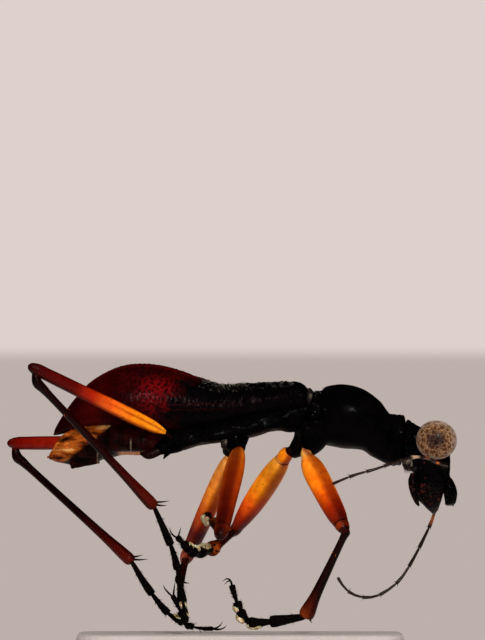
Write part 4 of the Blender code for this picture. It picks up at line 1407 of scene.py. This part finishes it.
def make_skin():
    bm = bmesh.new()
    for centre, radii in SKIN_FOLDS:
        add_ball(bm, centre, radii)
    carve(bm, lambda spot, normal: lumps(spot, SKIN_LUMPS))
    for way in (1, -1):
        for index in range(FRINGE_COUNT):
            root = FRINGE_START * Vector((1, way, 1)) + Vector((FRINGE_STEP * index, 0, 0))
            hang = Vector((0.25, rng.uniform(-HAIR_STRAY, HAIR_STRAY), -1)).normalized()
            add_hair(bm, root, hang, FRINGE_LENGTH, FRINGE_WIDTH)
    finish_piece("skin_folds", seal(bm), SKIN_PALE, "cuticle_black")


make_skin()

# %% [markdown]
# The base is a plain matt slab with rounded corners. It keeps the measured solid, and only its
# finish is made here: a pale card with faint clouds.

# %% Base finish
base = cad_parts["stand_base"]
base.data.materials.clear()
base.data.materials.append(clouded(
    "base_pale", 0.75, 0.8, ((0.362, 0.308, 0.285), (0.380, 0.326, 0.303)), grain=0.002))
print("stand_base keeps", len(base.data.polygons), "faces")

# %% [markdown]
# The floor is a disc that fades out, so that it meets the pale background without a line. It is
# part of the stage and not of the model.

# %% Floor
FLOOR_RADIUS = 0.026
FLOOR_FADE = (0.024, 0.010)
FLOOR_COLOUR = (0.60, 0.52, 0.49, 1)


def floor_finish():
    material = bpy.data.materials.new("stage_floor")
    material.use_nodes = True
    tree = material.node_tree
    shader = tree.nodes["Principled BSDF"]
    shader.inputs["Base Color"].default_value = FLOOR_COLOUR
    shader.inputs["Roughness"].default_value = 0.9
    shader.inputs["Specular IOR Level"].default_value = 0.1
    place = add_node(tree, "ShaderNodeTexCoord")
    distance = add_node(tree, "ShaderNodeVectorMath", operation="LENGTH")
    tree.links.new(place.outputs["Object"], distance.inputs[0])
    fade = smooth_step(tree, distance.outputs["Value"], *FLOOR_FADE)
    tree.links.new(fade, shader.inputs["Alpha"])
    return material


def make_floor():
    bm = bmesh.new()
    bmesh.ops.create_circle(bm, cap_ends=True, segments=64, radius=FLOOR_RADIUS)
    mesh = bpy.data.meshes.new("stage_floor")
    bm.to_mesh(mesh)
    bm.free()
    mesh.materials.append(floor_finish())
    floor = bpy.data.objects.new("stage_floor", mesh)
    bpy.context.scene.collection.objects.link(floor)
    print("floor", round(FLOOR_RADIUS * 2000), "mm across")


make_floor()

# %% [markdown]
# Light comes from soft lamps, as on a specimen bench: three beside the camera, one above, and
# two behind that light up the amber legs. The background is seen by the camera in its own
# colour, and gives the beetle a dimmer light, so that the black stays black.

# %% Light
TAUPE = (0.508, 0.434, 0.402, 1)
PINK = (0.730, 0.631, 0.604, 1)
HORIZON = (-0.0024, -0.0014)            # where the taupe below turns into the pink above
ROOM_LIGHT = 0.20
WHITE, WARM = (1, 1, 1), (1, 0.95, 0.9)
LIGHT_AIM = Vector((0, 0, 0.0042))
# Name, place, size, watts, tint, and whether the lamp shows as a highlight in the gloss
LAMPS = (
    ("key", (0.025, -0.119, 0.070), 0.022, 0.13, WHITE, True),
    ("front_left", (-0.06, -0.12, 0.02), 0.05, 0.080, WHITE, False),
    ("front_right", (0.07, -0.11, 0.00), 0.05, 0.085, WHITE, False),
    ("top", (0.0, -0.01, 0.12), 0.08, 0.050, WHITE, False),
    ("behind_left", (0.06, 0.12, 0.03), 0.06, 0.080, WHITE, False),
    ("behind_right", (-0.05, 0.12, 0.05), 0.06, 0.085, WARM, False),
)


def add_light(name, place, size, watts, tint, mirrored_in_gloss):
    lamp = bpy.data.lights.new(name, "AREA")
    lamp.shape = "DISK"
    lamp.size = size
    lamp.energy = watts
    lamp.color = tint
    item = bpy.data.objects.new(name, lamp)
    item.location = place
    item.visible_glossy = mirrored_in_gloss
    item.rotation_euler = (LIGHT_AIM - Vector(place)).to_track_quat("-Z", "Y").to_euler()
    bpy.context.scene.collection.objects.link(item)


def make_world():
    world = bpy.data.worlds.new("pale_room")
    world.use_nodes = True
    tree = world.node_tree
    tree.nodes.clear()
    place = add_node(tree, "ShaderNodeTexCoord")
    split = add_node(tree, "ShaderNodeSeparateXYZ")
    tree.links.new(place.outputs["Generated"], split.inputs[0])
    tone = add_node(tree, "ShaderNodeMix", data_type="RGBA")
    for socket, value in ((0, smooth_step(tree, split.outputs["Z"], *HORIZON)), (6, TAUPE), (7, PINK)):
        feed(tree, tone.inputs[socket], value)
    seen = add_node(tree, "ShaderNodeBackground")
    tree.links.new(tone.outputs[2], seen.inputs["Color"])
    path = add_node(tree, "ShaderNodeLightPath")
    dimmed = add_node(tree, "ShaderNodeMapRange")
    dimmed.inputs["To Min"].default_value = ROOM_LIGHT
    dimmed.inputs["To Max"].default_value = 0.0
    tree.links.new(path.outputs["Is Glossy Ray"], dimmed.inputs["Value"])
    given = add_node(tree, "ShaderNodeBackground")
    given.inputs["Color"].default_value = PINK
    tree.links.new(dimmed.outputs[0], given.inputs["Strength"])
    choose = add_node(tree, "ShaderNodeMixShader")
    for socket, start in enumerate((path.outputs["Is Camera Ray"], given.outputs[0], seen.outputs[0])):
        tree.links.new(start, choose.inputs[socket])
    leave = add_node(tree, "ShaderNodeOutputWorld")
    tree.links.new(choose.outputs[0], leave.inputs["Surface"])
    bpy.context.scene.world = world


for lamp_values in LAMPS:
    add_light(*lamp_values)
make_world()
print("lamps:", ", ".join(values[0] for values in LAMPS))

# %% [markdown]
# The camera looks square on at the beetle's right side through a long lens, as a microscope
# does. The photograph gives its scale, 51 pixels to the millimetre, and where the feet stand.

# %% Camera
PIXELS_PER_MM = 51.0
FRAME_WIDTH, FRAME_HEIGHT = 485, 640
PIXEL_OF_X_ZERO, PIXEL_OF_FEET = 235.0, 629.0
CAMERA_DISTANCE = 0.350
SENSOR = 36.0


def make_camera():
    data = bpy.data.cameras.new("camera")
    data.sensor_width = SENSOR
    data.lens = SENSOR * CAMERA_DISTANCE / (FRAME_HEIGHT / PIXELS_PER_MM * MM)
    data.clip_start = 0.01
    data.clip_end = 10
    camera = bpy.data.objects.new("camera", data)
    x = (FRAME_WIDTH / 2 - PIXEL_OF_X_ZERO) / PIXELS_PER_MM
    z = (PIXEL_OF_FEET - FRAME_HEIGHT / 2) / PIXELS_PER_MM
    camera.location = origin + Vector((x, 0, z)) * MM + Vector((0, -CAMERA_DISTANCE, 0))
    camera.rotation_euler = (math.radians(90), 0, 0)
    bpy.context.scene.collection.objects.link(camera)
    bpy.context.scene.camera = camera
    print("lens", round(data.lens, 1), "mm")


make_camera()
bpy.context.scene.view_settings.view_transform = "Standard"
